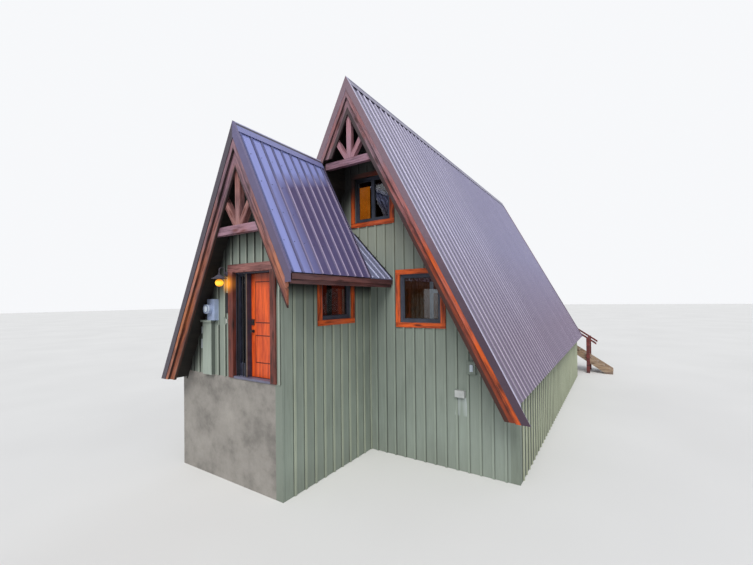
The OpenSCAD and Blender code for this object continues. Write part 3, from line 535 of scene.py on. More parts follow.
@dataclass(frozen=True)
class Siding:
    """Sage green paint on upright boards, with dark joints by the battens: grime and painted shadow."""

    name: str
    run: Run
    base: Colour
    row: Span = FRONT_ROW
    joint: float = 0.75
    gap: float = 0.022
    # Strength of the painted shade on faces that turn to +X.
    shade: float = 0.5
    splash: Optional[Span] = None
    painted_lamp_glow: Optional[PaintedLampGlow] = None
    painted_shadings: Sequence[PaintedShading] = ()

    def joints(self, r: Recipe, across: Socket) -> Socket:
        """Return where the dark joint on each side of a batten lies, grime and painted shadow.

        Args:
            r: The paint's recipe.
            across: The place across the boards.

        Returns:
            The mask's socket.
        """
        off = r.repeat(across, *self.row)
        if self.run is Run.ALONG_Y:
            off = r.times(off, -1.0)
        edge = 0.020
        right = r.band(off, edge, edge + self.gap, 0.008)
        left = r.times(r.band(off, -0.032, -edge, 0.006), 0.45)
        return r.plus(right, left, clamp=True)

    def splashed(self, r: Recipe, colour: Socket) -> Socket:
        """Return the paint with the pale arch that has formed under a vent.

        Args:
            r: The paint's recipe.
            colour: The paint's colour.

        Returns:
            The colour's socket.
        """
        middle, top = self.splash
        x, _, z = r.axes()
        half = r.plus(0.10, r.times(r.span(z, top, top - 0.36), 0.05))
        room = r.minus(half, r.away(x, middle))
        inside = r.times(r.span(room, -0.01, 0.015), r.span(room, 0.13, 0.01))
        share = r.times(inside, r.band(z, top - 0.38, top, 0.04))
        return r.mix(r.times(share, 0.62), colour, paint(196, 204, 206))

    def make(self) -> bpy.types.Material:
        """Build the paint.

        Returns:
            The material.
        """
        r = Recipe(self.name)
        x, y, z = r.axes()
        across = x if self.run is Run.ALONG_X else y
        tone = r.chance("FLOOR", across, *self.row)
        grain = r.noise(r.scaled(r.place, (38.0, 38.0, 2.2)), 1.0, 6.0, 0.62)
        cloud = r.noise(r.scaled(r.place, (1.0, 1.0, 0.5)), 1.3, 3.0)
        colour = r.ramp(r.plus(r.times(grain, 0.55), r.times(cloud, 0.45)),
                        [(0.32, tinted(self.base, 0.76)), (0.5, self.base), (0.70, tinted(self.base, 1.20))])
        colour = r.mix(r.times(tone, 0.22), colour, tinted(self.base, 0.66))
        worn = r.ramp(grain, [(0.35, 0.6), (0.6, 1.0)])
        # Dark lines beside the battens: grime in the joints and painted shadow cast by the battens.
        joint_dirt_and_shadow = r.times(r.times(self.joints(r, across), worn), self.joint)
        colour = r.mix(joint_dirt_and_shadow, colour, paint(38, 44, 38))
        # Painted shade on the faces that turn to +X, such as the battens' sides.
        if self.run is Run.ALONG_X:
            side = r.span(r.facing()[0], 0.3, 0.8)
            colour = r.mix(r.times(side, self.shade), colour, paint(40, 46, 40))
        damp = r.ramp(r.plus(z, r.times(cloud, 0.5)), [(0.30, 0.5), (0.95, 0.0)])
        colour = r.mix(r.times(damp, 0.5), colour, paint(96, 100, 86))
        for shade in self.painted_shadings:
            colour = shade.lay(r, colour)
        if self.splash:
            colour = self.splashed(r, colour)
        if self.painted_lamp_glow:
            self.painted_lamp_glow.lay(r)
        r.set(Base_Color=colour, Roughness=r.blend(grain, 0.62, 0.78))
        return r.bump(grain, 0.25, 0.004).material


@dataclass(frozen=True)
class RoofCoat:
    """Dark brown ribbed sheet coat with a painted cool blue sky reflection where it leans to the front."""

    name: str
    first: float
    # near, far, low: coat with painted sky reflection; rib and side tones: painted rib highlight and shade.
    near: Colour
    far: Colour
    rib_near: Colour
    rib_far: Colour
    turn: Span
    tilt: float = 0.12
    low: Colour = paint(104, 90, 106)
    rib_low: Colour = paint(184, 168, 186)
    side_near: Colour = paint(136, 131, 157)
    side_far: Colour = paint(118, 115, 142)
    low_from: Span = (5.2, 2.6)
    crest: Optional[float] = None
    line: Span = (-0.017, 0.006)
    rib_shade: float = 0.6
    even: float = 0.45
    rough: float = 0.38
    coat: float = 0.12

    def make(self) -> bpy.types.Material:
        """Build the coat.

        Returns:
            The material.
        """
        r = Recipe(self.name)
        _, y, z = r.axes()
        streak = r.noise(r.scaled(r.place, (0.5, 16.0, 0.5)), 1.0, 4.0)
        # Painted sky reflection: the near tone where the sheet leans to the front, and on the wing along its
        # crest.
        lean = r.span(r.minus(y, r.times(z, self.tilt)), *self.turn)
        back = r.plus(lean, r.swing(r.noise(r.place, 0.6, 3.0), 0.7), clamp=True)
        if self.crest:
            height = r.minus(z, r.times(y, 0.3))
            back = r.times(back, r.span(height, self.crest, self.crest - 0.35))
        # Painted reflection: duller low tones low down on the roof.
        down = r.times(r.span(z, *self.low_from), 0.8)
        flat, rib, side = (r.mix(down, r.mix(back, near, far), low) for near, far, low in (
            (self.near, self.far, self.low), (self.rib_near, self.rib_far, self.rib_low),
            (self.side_near, self.side_far, self.low)))
        colour = r.mix(r.times(streak, 0.18), flat, tinted(self.far, 0.55))
        sheet = r.chance("FLOOR", y, 0.0, SHEET_WIDTH)
        colour = r.mix(r.times(sheet, 0.10), colour, tinted(self.near, 1.4))
        # Painted highlight and shade on the ribs' fronts and tops, random in strength from rib to rib.
        off = r.repeat(y, self.first, RIB_PITCH)
        tone = r.sums("POWER", r.chance("ROUND", y, self.first, RIB_PITCH), 2.0)
        share = r.plus(self.even, r.times(tone, 1.0 - self.even))
        colour = r.mix(r.band(off, -0.036, self.line[0], 0.006), colour, side)
        colour = r.mix(r.times(r.band(off, *self.line, 0.006), share), colour, rib)
        # Painted shadow behind each rib.
        rib_shadow = r.times(r.band(off, 0.016, 0.040, 0.008), self.rib_shade)
        colour = r.mix(rib_shadow, colour, tinted(self.far, 0.45))
        r.set(Base_Color=colour, Metallic=0.15, Coat_Weight=self.coat, Coat_Roughness=0.25,
              Roughness=r.blend(streak, self.rough - 0.06, self.rough + 0.08))
        return r.bump(r.noise(r.place, 3.0, 2.0), 0.08, 0.02).material


@dataclass(frozen=True)
class TrimCoat:
    """Folded edge trim coat: dull front face, bright roof flange; painted reflection and highlight."""

    name: str
    face: Colour
    face_high: Colour
    flange: Colour
    turn: Span
    # left: painted shade tone for the faces left of the ridge.
    left: Optional[Colour] = None
    ridge_x: float = 0.0
    rough: float = 0.42

    def make(self) -> bpy.types.Material:
        """Build the coat.

        Returns:
            The material.
        """
        r = Recipe(self.name)
        x, _, z = r.axes()
        cloud = r.noise(r.place, 1.6, 4.0)
        fine = r.noise(r.scaled(r.place, (3.0, 3.0, 3.0)), 3.0, 4.0)
        # Painted reflection: the front face brightens higher up; the faces not turned to the front carry the
        # flange's painted highlight.
        up = r.plus(r.span(z, *self.turn), r.swing(cloud, 0.8), clamp=True)
        front = r.span(r.sums("ABSOLUTE", r.facing()[1]), 0.4, 0.7)
        colour = r.mix(front, self.flange, r.mix(up, self.face, self.face_high))
        # Painted shade on the trim's faces left of the ridge.
        if self.left:
            colour = r.mix(r.span(x, self.ridge_x + 0.01, self.ridge_x - 0.03), colour, self.left)
        colour = r.mix(r.times(fine, 0.25), colour, tinted(self.face, 0.6))
        r.set(Base_Color=colour, Metallic=0.12, Coat_Weight=0.2, Coat_Roughness=0.3,
              Roughness=r.blend(fine, self.rough - 0.06, self.rough + 0.08))
        return r.bump(fine, 0.06, 0.01).material


@dataclass(frozen=True)
class RidgeCoat:
    """Ridge cap: painted highlight on the crest, painted shadow below, the sheet's tone towards its edge."""

    name: str
    ridge_x: float
    sheet: Colour
    fold_highlight: Colour = paint(178, 178, 212)
    hem_shadow_tone: Colour = paint(40, 36, 54)

    def make(self) -> bpy.types.Material:
        """Build the coat.

        Returns:
            The material.
        """
        r = Recipe(self.name)
        off = r.away(r.axes()[0], self.ridge_x)
        cloud = r.noise(r.place, 2.0, 4.0)
        # Painted highlight on the crest, then painted shadow along the cap's lower edge.
        crest = r.mix(r.span(off, 0.010, 0.014), self.fold_highlight, self.hem_shadow_tone)
        colour = r.mix(r.span(off, 0.034, 0.040), crest, self.sheet)
        colour = r.mix(r.times(cloud, 0.3), colour, self.hem_shadow_tone)
        r.set(Base_Color=colour, Metallic=0.12, Coat_Weight=0.2, Coat_Roughness=0.3,
              Roughness=r.blend(cloud, 0.36, 0.5))
        return r.bump(cloud, 0.06, 0.01).material


@dataclass(frozen=True)
class Stain:
    """Stained timber with its grain along the board, worn to a weathered tone high up."""

    name: str
    run: Run = Run.ALONG_X
    slope: Optional[Slope] = None
    fresh: Colour = paint(196, 84, 26)
    deep: Colour = paint(128, 44, 18)
    worn: Colour = paint(124, 92, 96)
    worn_deep: Colour = paint(72, 50, 56)
    wear: Optional[Span] = None
    worn_share: float = 0.0
    knots: float = 0.8
    rough: float = 0.55
    lean: float = 0.0
    post: float = 0.068
    # Painted shade on the set-back board, and painted shadow lines at given depths below the roof plane.
    inner_painted_shade: float = 0.0
    painted_shadow_lines: Sequence[Span] = ()
    painted_shadings: Sequence[PaintedShading] = ()
    flats: Sequence[Span] = ()
    painted_lamp_glow: Optional[PaintedLampGlow] = None

    def depth(self, r: Recipe) -> Socket:
        """Return the depth of the surface below its roof plane."""
        _, up = r.turned(r.away(r.axes()[0], self.slope.ridge_x), r.axes()[2], self.slope.pitch)
        return r.minus(self.slope.ridge_z * self.slope.cos, up)

    def grain_space(self, r: Recipe) -> Socket:
        """Return the surface's place with its first part along the grain.

        Args:
            r: The stain's recipe.

        Returns:
            The place's socket.
        """
        x, y, z = r.axes()
        if self.slope is None:
            order = {Run.ALONG_X: (x, y, z), Run.ALONG_Y: (y, x, z), Run.UPRIGHT: (z, x, y)}
            space = r.vector(*order[self.run])
            for low, high in self.flats:
                level = r.vector(r.plus(x, y), z, 0.0)
                space = r.choose(r.band(z, low, high, 0.001), space, level)
            return space
        side = r.away(x, self.slope.ridge_x)
        if self.lean:
            across, along = r.turned(side, z, self.lean)
            post = r.sums("LESS_THAN", side, self.post)
            return r.choose(post, r.vector(along, across, y), r.vector(z, side, y))
        return r.vector(*r.turned(side, z, self.slope.pitch), y)

    def make(self) -> bpy.types.Material:
        """Build the stained timber.

        Returns:
            The material.
        """
        r = Recipe(self.name)
        space = self.grain_space(r)
        broad = r.noise(r.scaled(space, (1.3, 12.0, 12.0)), 1.0, 5.0, 0.66)
        fine = r.noise(r.scaled(space, (3.0, 90.0, 90.0)), 1.0, 5.0, 0.7)
        patch = r.noise(r.scaled(space, (1.3, 3.2, 3.2)), 1.0, 3.0)
        knot = r.node("ShaderNodeTexVoronoi", {"Vector": r.scaled(space, (1.7, 6.5, 6.5)),
                                               "Scale": 1.0, "Randomness": 1.0}).outputs["Distance"]
        fibre = r.plus(r.times(broad, 0.6), r.times(fine, 0.4))
        fresh, worn = (r.ramp(fibre, [(0.40, deep), (0.53, tone), (0.66, tinted(tone, bright))])
                       for deep, tone, bright in ((self.deep, self.fresh, 1.35),
                                                  (self.worn_deep, self.worn, 1.4)))
        share = r.span(r.axes()[2], *self.wear) if self.wear else self.worn_share
        share = r.plus(share, r.swing(patch, 1.6 if self.wear else 1.2), clamp=True)
        spots = r.times(r.ramp(knot, [(0.09, 1.0), (0.24, 0.0)]), self.knots)
        colour = r.mix(spots, r.mix(share, fresh, worn), tinted(self.deep, 0.4))
        # Painted shade on the set-back board deeper than 0.2 m below the roof plane, then painted shadow
        # lines.
        if self.inner_painted_shade:
            depth = self.depth(r)
            sunk = r.times(r.span(depth, 0.198, 0.208), r.minus(1.0, share))
            colour = r.mix(r.times(sunk, self.inner_painted_shade), colour, paint(88, 28, 12))
            for low, high in self.painted_shadow_lines:
                line = r.band(r.plus(depth, r.swing(patch, 0.02)), low, high, 0.010)
                colour = r.mix(r.times(line, 0.85), colour, paint(24, 13, 11))
        for shade in self.painted_shadings:
            colour = shade.lay(r, colour)
        if self.painted_lamp_glow:
            self.painted_lamp_glow.lay(r)
        r.set(Base_Color=colour, Roughness=r.blend(fibre, self.rough + 0.12, self.rough - 0.05))
        return r.bump(fibre, 0.35, 0.004).material


@dataclass(frozen=True)
class Coat:
    """Smooth factory coat with slight dust and handling marks."""

    name: str
    colour: Colour
    rough: float = 0.4
    metal: float = 0.0
    marks: float = 0.25
    # A glow is the lamp globe's own light; on the other coats it is painted light.
    glow: Optional[tuple[Colour, float]] = None
    rim: Optional[tuple[Colour, float, float]] = None
    painted_shadings: Sequence[PaintedShading] = ()

    def light(self, r: Recipe, cloud: Socket, fine: Socket) -> Socket:
        """Return the colour of the coat's own light, with a painted darker rim where one is given.

        Args:
            r: The coat's recipe.
            cloud: Broad noise.
            fine: Fine noise.

        Returns:
            The colour's socket.
        """
        tone = self.glow[0]
        if not self.rim:
            return r.blend(cloud, tinted(tone, 0.8), tone)
        tint, middle, reach = self.rim
        light = r.ramp(fine, [(0.35, tinted(tone, 0.7)), (0.6, tone)])
        return r.mix(r.span(r.away(r.axes()[2], middle), 0.4 * reach, reach), light, tint)

    def make(self) -> bpy.types.Material:
        """Build the coat.

        Returns:
            The material.
        """
        r = Recipe(self.name)
        cloud = r.noise(r.place, 6.0, 5.0)
        fine = r.noise(r.place, 60.0, 3.0)
        colour = r.blend(cloud, tinted(self.colour, 1.0 - self.marks), tinted(self.colour, 1.0 + self.marks))
        for shade in self.painted_shadings:
            colour = shade.lay(r, colour)
        r.set(Base_Color=colour, Metallic=self.metal,
              Roughness=r.blend(cloud, self.rough - 0.07, self.rough + 0.1))
        if self.glow:
            r.set(Emission_Color=self.light(r, cloud, fine), Emission_Strength=self.glow[1])
        return r.bump(fine, 0.06, 0.002).material


@dataclass(frozen=True)
class ClearGlass:
    """Window glass with a faint tint and a trace of dust."""

    name: str
    tint: Colour = paint(208, 220, 226)

    def make(self) -> bpy.types.Material:
        """Build the glass.

        Returns:
            The material.
        """
        r = Recipe(self.name)
        dust = r.ramp(r.noise(r.place, 4.0, 4.0), [(0.4, 0.01), (0.8, 0.06)])
        r.set(Base_Color=self.tint, Roughness=dust, Transmission_Weight=1.0, IOR=1.62)
        return r.material


@dataclass(frozen=True)
class Concrete:
    """Poured concrete with form marks and damp."""

    name: str
    colour: Colour = paint(142, 138, 132)

    def make(self) -> bpy.types.Material:
        """Build the concrete.

        Returns:
            The material.
        """
        r = Recipe(self.name)
        coarse = r.noise(r.place, 2.0, 6.0, 0.65)
        fine = r.noise(r.place, 60.0, 4.0)
        colour = r.ramp(coarse, [(0.3, tinted(self.colour, 0.6)), (0.5, self.colour),
                                 (0.75, tinted(self.colour, 1.3))])
        r.set(Base_Color=r.mix(r.times(fine, 0.25), colour, paint(96, 92, 86)), Roughness=0.88)
        return r.bump(r.plus(coarse, r.times(fine, 0.3)), 0.4, 0.006).material


class Work:
    """One piece while it is being made."""

    def __init__(self, name: str) -> None:
        """Start an empty piece.

        Args:
            name: The piece's name.
        """
        self.name = name
        self.bm = bmesh.new()

    def block(self, low: Sequence[float], high: Sequence[float], turn: Optional[Matrix] = None
              ) -> list[bmesh.types.BMVert]:
        """Add a block.

        Args:
            low: Its lowest corner.
            high: Its highest corner.
            turn: A placement applied afterwards.

        Returns:
            Its corners.
        """
        low, high = Vector(low), Vector(high)
        size = high - low
        place = Matrix.Translation((low + high) / 2) @ Matrix.Diagonal((*size, 1.0))
        made = bmesh.ops.create_cube(self.bm, size=1.0, matrix=(turn or Matrix.Identity(4)) @ place)
        return made["verts"]

    def soft_block(self, low: Sequence[float], high: Sequence[float], round_to: float,
                   turn: Optional[Matrix] = None) -> None:
        """Add a block with softened edges.

        Args:
            low: Its lowest corner.
            high: Its highest corner.
            round_to: Width of the softening.
            turn: A placement applied afterwards.
        """
        edges = list({e for v in self.block(low, high, turn) for e in v.link_edges})
        bmesh.ops.bevel(self.bm, geom=edges, offset=round_to, offset_type="OFFSET", affect="EDGES",
                        segments=2, profile=0.5, material=-1)

    def rod(self, start: Sequence[float], end: Sequence[float], radius: float) -> None:
        """Add a round bar.

        Args:
            start: Middle of its first end.
            end: Middle of its other end.
            radius: Its radius.
        """
        start, end = Vector(start), Vector(end)
        run = end - start
        place = Matrix.Translation((start + end) / 2) @ run.to_track_quat("Z", "Y").to_matrix().to_4x4()
        bmesh.ops.create_cone(self.bm, cap_ends=True, segments=24, radius1=radius, radius2=radius,
                              depth=run.length, matrix=place)

    def turned(self, profile: Sequence[Span], place: Matrix) -> None:
        """Spin a profile round an axis.

        Args:
            profile: Points as radius and height.
            place: Placement of the axis.
        """
        verts = [self.bm.verts.new((r, 0.0, z)) for r, z in profile]
        edges = [self.bm.edges.new(pair) for pair in zip(verts, verts[1:])]
        made = bmesh.ops.spin(self.bm, geom=verts + edges, cent=(0, 0, 0), axis=(0, 0, 1),
                              angle=math.tau, steps=32, use_merge=True, use_duplicate=False)
        found = set(verts) | {g for g in made["geom_last"] if isinstance(g, bmesh.types.BMVert)}
        stack = list(found)
        while stack:
            for edge in stack.pop().link_edges:
                for v in edge.verts:
                    if v not in found:
                        found.add(v)
                        stack.append(v)
        bmesh.ops.remove_doubles(self.bm, verts=list(found), dist=1e-6)
        alive = [v for v in found if v.is_valid]
        bmesh.ops.transform(self.bm, matrix=place, verts=alive)
        faces = list({f for v in alive for f in v.link_faces})
        bmesh.ops.recalc_face_normals(self.bm, faces=faces)

    def finish(self, material: bpy.types.Material, slot: str, body: str = CABIN,
               smooth: bool = False) -> None:
        """Turn the work into a piece that rides on a body.

        Args:
            material: Its finish.
            slot: The record's material slot; not used.
            body: The body that it rides on.
            smooth: Whether its faces are smooth shaded by angle.
        """
        mesh = bpy.data.meshes.new(self.name)
        if smooth:
            for face in self.bm.faces:
                face.smooth = True
            for edge in self.bm.edges:
                edge.smooth = len(edge.link_faces) == 2 and edge.calc_face_angle(0.0) < math.radians(35)
        self.bm.to_mesh(mesh)
        self.bm.free()
        mesh.materials.append(material)
        piece = bpy.data.objects.new(self.name, mesh)
        bpy.context.scene.collection.objects.link(piece)
        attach(piece, body)
        log.info("%s: %d faces", self.name, len(mesh.polygons))


@dataclass
class Finishes:
    """Every finish of the cabin, made once."""

    made: dict[str, bpy.types.Material] = field(default_factory=dict)

    def build(self) -> None:
        """Make every finish."""
        # Painted light of the wall lamp, laid as a glow on the wing wall, its battens and the door trim.
        lamp = PaintedLampGlow((-1.50, WING_FACE_Y - 0.03, 3.93))
        recipes = [
            Siding("siding_front", Run.ALONG_X, base=paint(126, 136, 127), splash=(2.37, 1.53),
                   painted_shadings=FRONT_PAINTED_LIGHT_AND_SHADE),
            Siding("siding_wing", Run.ALONG_X, base=paint(131, 140, 130), row=WING_ROW, joint=0.9,
                   painted_lamp_glow=lamp, painted_shadings=WING_PAINTED_SHADE),
            Siding("siding_side", Run.ALONG_Y, base=paint(132, 142, 131), row=SIDE_ROW, joint=1.0,
                   painted_shadings=EAVE_PAINTED_SHADE),
            # The eave walls' wide dark bands beside the battens are painted shadow.
            Siding("siding_eave", Run.ALONG_Y, base=paint(122, 132, 121), row=SIDE_ROW, joint=1.0,
                   gap=0.085, painted_shadings=EAVE_PAINTED_SHADE),
            # The batten finishes are lighter copies of the wall paints: painted light on the battens' faces.
            Siding("batten_eave", Run.ALONG_Y, base=paint(176, 182, 158), joint=0.0, painted_shadings=EAVE_PAINTED_SHADE),
            Siding("batten_front", Run.ALONG_X, base=paint(134, 144, 133), joint=0.0, painted_shadings=FRONT_PAINTED_LIGHT_AND_SHADE),
            Siding("batten_wing", Run.ALONG_X, base=paint(146, 154, 142), joint=0.0, shade=0.8, painted_lamp_glow=lamp,
                   painted_shadings=WING_PAINTED_SHADE),
            Siding("batten_side", Run.ALONG_Y, base=paint(152, 160, 143), joint=0.0, painted_shadings=EAVE_PAINTED_SHADE),
            Siding("siding_box", Run.ALONG_X, base=paint(146, 156, 146), row=(4.0, 9.0), shade=0.7),
            RoofCoat("roof_coat", RAKE_Y + RIB_START, near=paint(94, 90, 114), far=paint(103, 100, 129),
                     rib_near=paint(212, 208, 233), rib_far=paint(139, 136, 166), turn=(-0.5, 4.5),
                     low=paint(92, 77, 97)),
            RoofCoat("wing_coat", WING_RAKE_Y + RIB_START, near=paint(144, 152, 210), far=paint(79, 69, 107),
                     rib_near=paint(50, 52, 98), rib_far=paint(182, 166, 194), turn=(-3.0, -2.3), tilt=0.0,
                     side_near=paint(44, 46, 88), side_far=paint(82, 72, 102), low_from=(1.0, 0.0),
                     crest=6.78, line=(-0.014, 0.009), rib_shade=0.4, even=0.8, rough=0.62, coat=0.03),
            RoofCoat("saddle_coat", -0.876, near=paint(118, 122, 152), far=paint(108, 108, 140),
                     rib_near=paint(138, 142, 176), rib_far=paint(128, 130, 164), turn=(-1.4, 0.0),
                     side_near=paint(100, 104, 134), side_far=paint(92, 92, 122), low_from=(1.0, 0.0),
                     rib_shade=0.2),
            TrimCoat("main_trim_coat", paint(68, 50, 66), paint(126, 103, 114), paint(180, 176, 205),
                     turn=(3.2, 5.6)),
            TrimCoat("wing_trim_coat", paint(86, 74, 102), paint(90, 84, 124), paint(104, 96, 132),
                     turn=(4.2, 6.4), left=paint(52, 42, 54), ridge_x=WING.ridge_x),
            RidgeCoat("main_ridge_coat", MAIN.ridge_x, paint(128, 124, 150)),
            RidgeCoat("wing_ridge_coat", WING.ridge_x, paint(126, 130, 182)),
            TrimCoat("cap_coat", paint(70, 64, 84), paint(70, 64, 84), paint(88, 82, 112), turn=(0.0, 9.0)),
            Stain("gable_stain", slope=MAIN, wear=(4.0, 6.6), fresh=paint(190, 78, 12),
                  deep=paint(82, 28, 12), worn=paint(134, 104, 112), worn_deep=paint(70, 48, 58), inner_painted_shade=0.72,
                  painted_shadow_lines=((0.196, 0.208), (0.300, 0.420))),
            Stain("wing_gable_stain", slope=WING, wear=(3.2, 5.6), fresh=paint(178, 106, 64),
                  deep=paint(84, 38, 26), worn=paint(130, 98, 108), worn_deep=paint(66, 44, 56), inner_painted_shade=0.55,
                  painted_shadow_lines=((0.106, 0.122), (0.196, 0.210), (0.332, 0.400))),
            Stain("main_truss_stain", slope=MAIN, lean=34.0, worn_share=0.85, fresh=paint(176, 92, 66),
                  worn=paint(158, 126, 140), worn_deep=paint(82, 56, 72)),
            Stain("wing_truss_stain", slope=WING, lean=34.0, worn_share=0.75, fresh=paint(170, 100, 62),
                  worn=paint(142, 106, 108), worn_deep=paint(66, 42, 48)),
            Stain("tie_stain", run=Run.ALONG_X, worn_share=0.95, fresh=paint(150, 84, 66),
                  worn=paint(142, 108, 122), worn_deep=paint(76, 50, 62)),
            # The casings carry the painted shadow of the front peak.
            Stain("casing_stain", run=Run.UPRIGHT, fresh=paint(212, 90, 30),
                  deep=paint(104, 30, 10), painted_shadings=PEAK_PAINTED_SHADE,
                  flats=((2.90, 3.06), (4.15, 4.30), (5.30, 5.475), (6.565, 6.70))),
            # Painted shadow under the eave on the top of the side window's casing.
            Stain("casing_side_stain", run=Run.UPRIGHT, fresh=paint(212, 90, 30),
                  deep=paint(104, 30, 10), painted_shadings=(PaintedShading((0.0, 0.0, 1.0), 3.72, 3.94, 0.9),),
                  flats=((3.0, 3.18), (4.15, 4.30))),
            Stain("fascia_stain", run=Run.ALONG_Y, worn_share=0.45, fresh=paint(104, 56, 48),
                  deep=paint(56, 26, 24), worn=paint(104, 78, 80)),
            # The door trim's dark tones are partly painted shade along its jambs.
            Stain("door_trim_stain", run=Run.UPRIGHT, wear=(4.06, 4.20), fresh=paint(100, 44, 32),
                  deep=paint(42, 14, 12), worn=paint(146, 98, 92), worn_deep=paint(84, 46, 46),
                  flats=((4.167, 4.40),), painted_lamp_glow=lamp),
            # Painted shadow under the door head on the top of the door.
            Stain("door_stain", run=Run.UPRIGHT, knots=0.35, fresh=paint(216, 86, 20),
                  deep=paint(170, 50, 10), worn=paint(206, 80, 34), worn_deep=paint(160, 48, 18),
                  worn_share=0.2, rough=0.4, painted_shadings=(PaintedShading((0.0, 0.0, 1.0), 3.84, 4.10, 0.6),)),
            # Soffit boards coloured near black: painted shade under the roofs.
            Stain("soffit_boards_painted_shade", run=Run.ALONG_Y, fresh=paint(26, 19, 14), deep=paint(11, 8, 7),
                  worn=paint(22, 19, 17), worn_deep=paint(11, 9, 9), worn_share=0.3),
            Stain("door_groove", run=Run.UPRIGHT, knots=0.0, fresh=paint(104, 34, 14),
                  deep=paint(60, 18, 10), worn=paint(90, 32, 18), worn_share=0.1),
            Stain("floor_boards", run=Run.ALONG_Y, fresh=paint(170, 122, 78), deep=paint(120, 78, 46)),
            Stain("deck_timber", run=Run.ALONG_X, fresh=paint(166, 136, 104), deep=paint(110, 86, 64),
                  worn=paint(142, 132, 120), worn_share=0.5),
            Stain("rail_stain", run=Run.ALONG_X, fresh=paint(104, 34, 30), deep=paint(58, 18, 18),
                  worn=paint(112, 60, 56), worn_share=0.3),
            # Painted shadow at the top and left of the upper window's frame.
            Coat("charcoal_coat", paint(62, 67, 80), 0.38,
                 painted_shadings=(PaintedShading((-0.45, 0.0, 1.0), 6.15, 6.60, 0.7),
                         PaintedShading((-1.0, 0.0, 0.35), 2.30, 2.70, 0.7))),
            Coat("door_frame_coat", paint(44, 46, 62), 0.42),
            Coat("black_coat", paint(26, 26, 30), 0.42),
            Coat("grey_enamel", paint(152, 166, 194), 0.42, marks=0.10),
            Coat("grey_box", paint(140, 148, 152), 0.5, marks=0.12),
            Coat("vent_coat", paint(178, 181, 180), 0.5, marks=0.12),
            Coat("lamp_coat", paint(84, 80, 92), 0.4, marks=0.3),
            Coat("sill_coat", paint(96, 96, 116), 0.45, marks=0.2),
            Coat("seam_strip", paint(116, 100, 84), 0.5, marks=0.2),
            # Pale paint with a faint glow: painted light on parts that are no lamp.
            Coat("pale_paint_painted_glow", paint(186, 196, 206), 0.5, marks=0.1, glow=(paint(150, 160, 172), 0.25)),
            Coat("plate_coat", paint(34, 34, 38), 0.5),
            Coat("outlet_coat", paint(132, 142, 132), 0.6, marks=0.1),
            Coat("bright_strip", paint(188, 188, 182), 0.35, 0.6),
            Coat("dark_flashing", paint(40, 38, 44), 0.45, 0.3),
            Coat("rubber_seal", paint(20, 20, 22), 0.8),
            # The globe's rim tone is painted shading: its glow darker at the top under the hood and at the
            # bottom.
            Coat("amber_glow", paint(220, 150, 50), 0.3, marks=0.1, glow=(paint(255, 196, 52), 1.25),
                 rim=(paint(188, 96, 14), 3.945, 0.072)),
            # The room linings glow: painted light that stands in for daylight in the rooms.
            Coat("room_light", paint(196, 116, 44), 0.6, marks=0.35, glow=(paint(206, 108, 22), 0.62)),
            Coat("room_brown_painted_glow", paint(104, 60, 34), 0.7, marks=0.5, glow=(paint(104, 56, 24), 0.20)),
            Coat("room_red_painted_glow", paint(104, 40, 22), 0.7, marks=0.4, glow=(paint(104, 30, 14), 0.30)),
            ClearGlass("clear_glass"),
            Concrete("concrete"),
        ]
        for recipe in recipes:
            self.made[recipe.name] = recipe.make()
        log.info("%d finishes", len(self.made))

    def __getitem__(self, name: str) -> bpy.types.Material:
        """Return a finish by name."""
        return self.made[name]

    def dress(self, name: str, *nodes: str) -> None:
        """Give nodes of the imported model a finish.

        Args:
            name: The finish.
            *nodes: The nodes.
        """
        for node in nodes:
            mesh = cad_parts[node].data
            mesh.materials.clear()
            mesh.materials.append(self.made[name])


def soft_piece(finishes: Finishes, name: str, finish: str, slot: str, soft: float,
               blocks: Sequence[tuple[Point, Point]]) -> None:
    """Build a piece from softened blocks.

    Args:
        finishes: The cabin's finishes.
        name: The piece's name.
        finish: Its finish.
        slot: The record's material slot.
        soft: Width of the softening.
        blocks: Lowest and highest corner of each block.
    """
    work = Work(name)
    for low, high in blocks:
        work.soft_block(low, high, soft)
    work.finish(finishes[finish], slot)


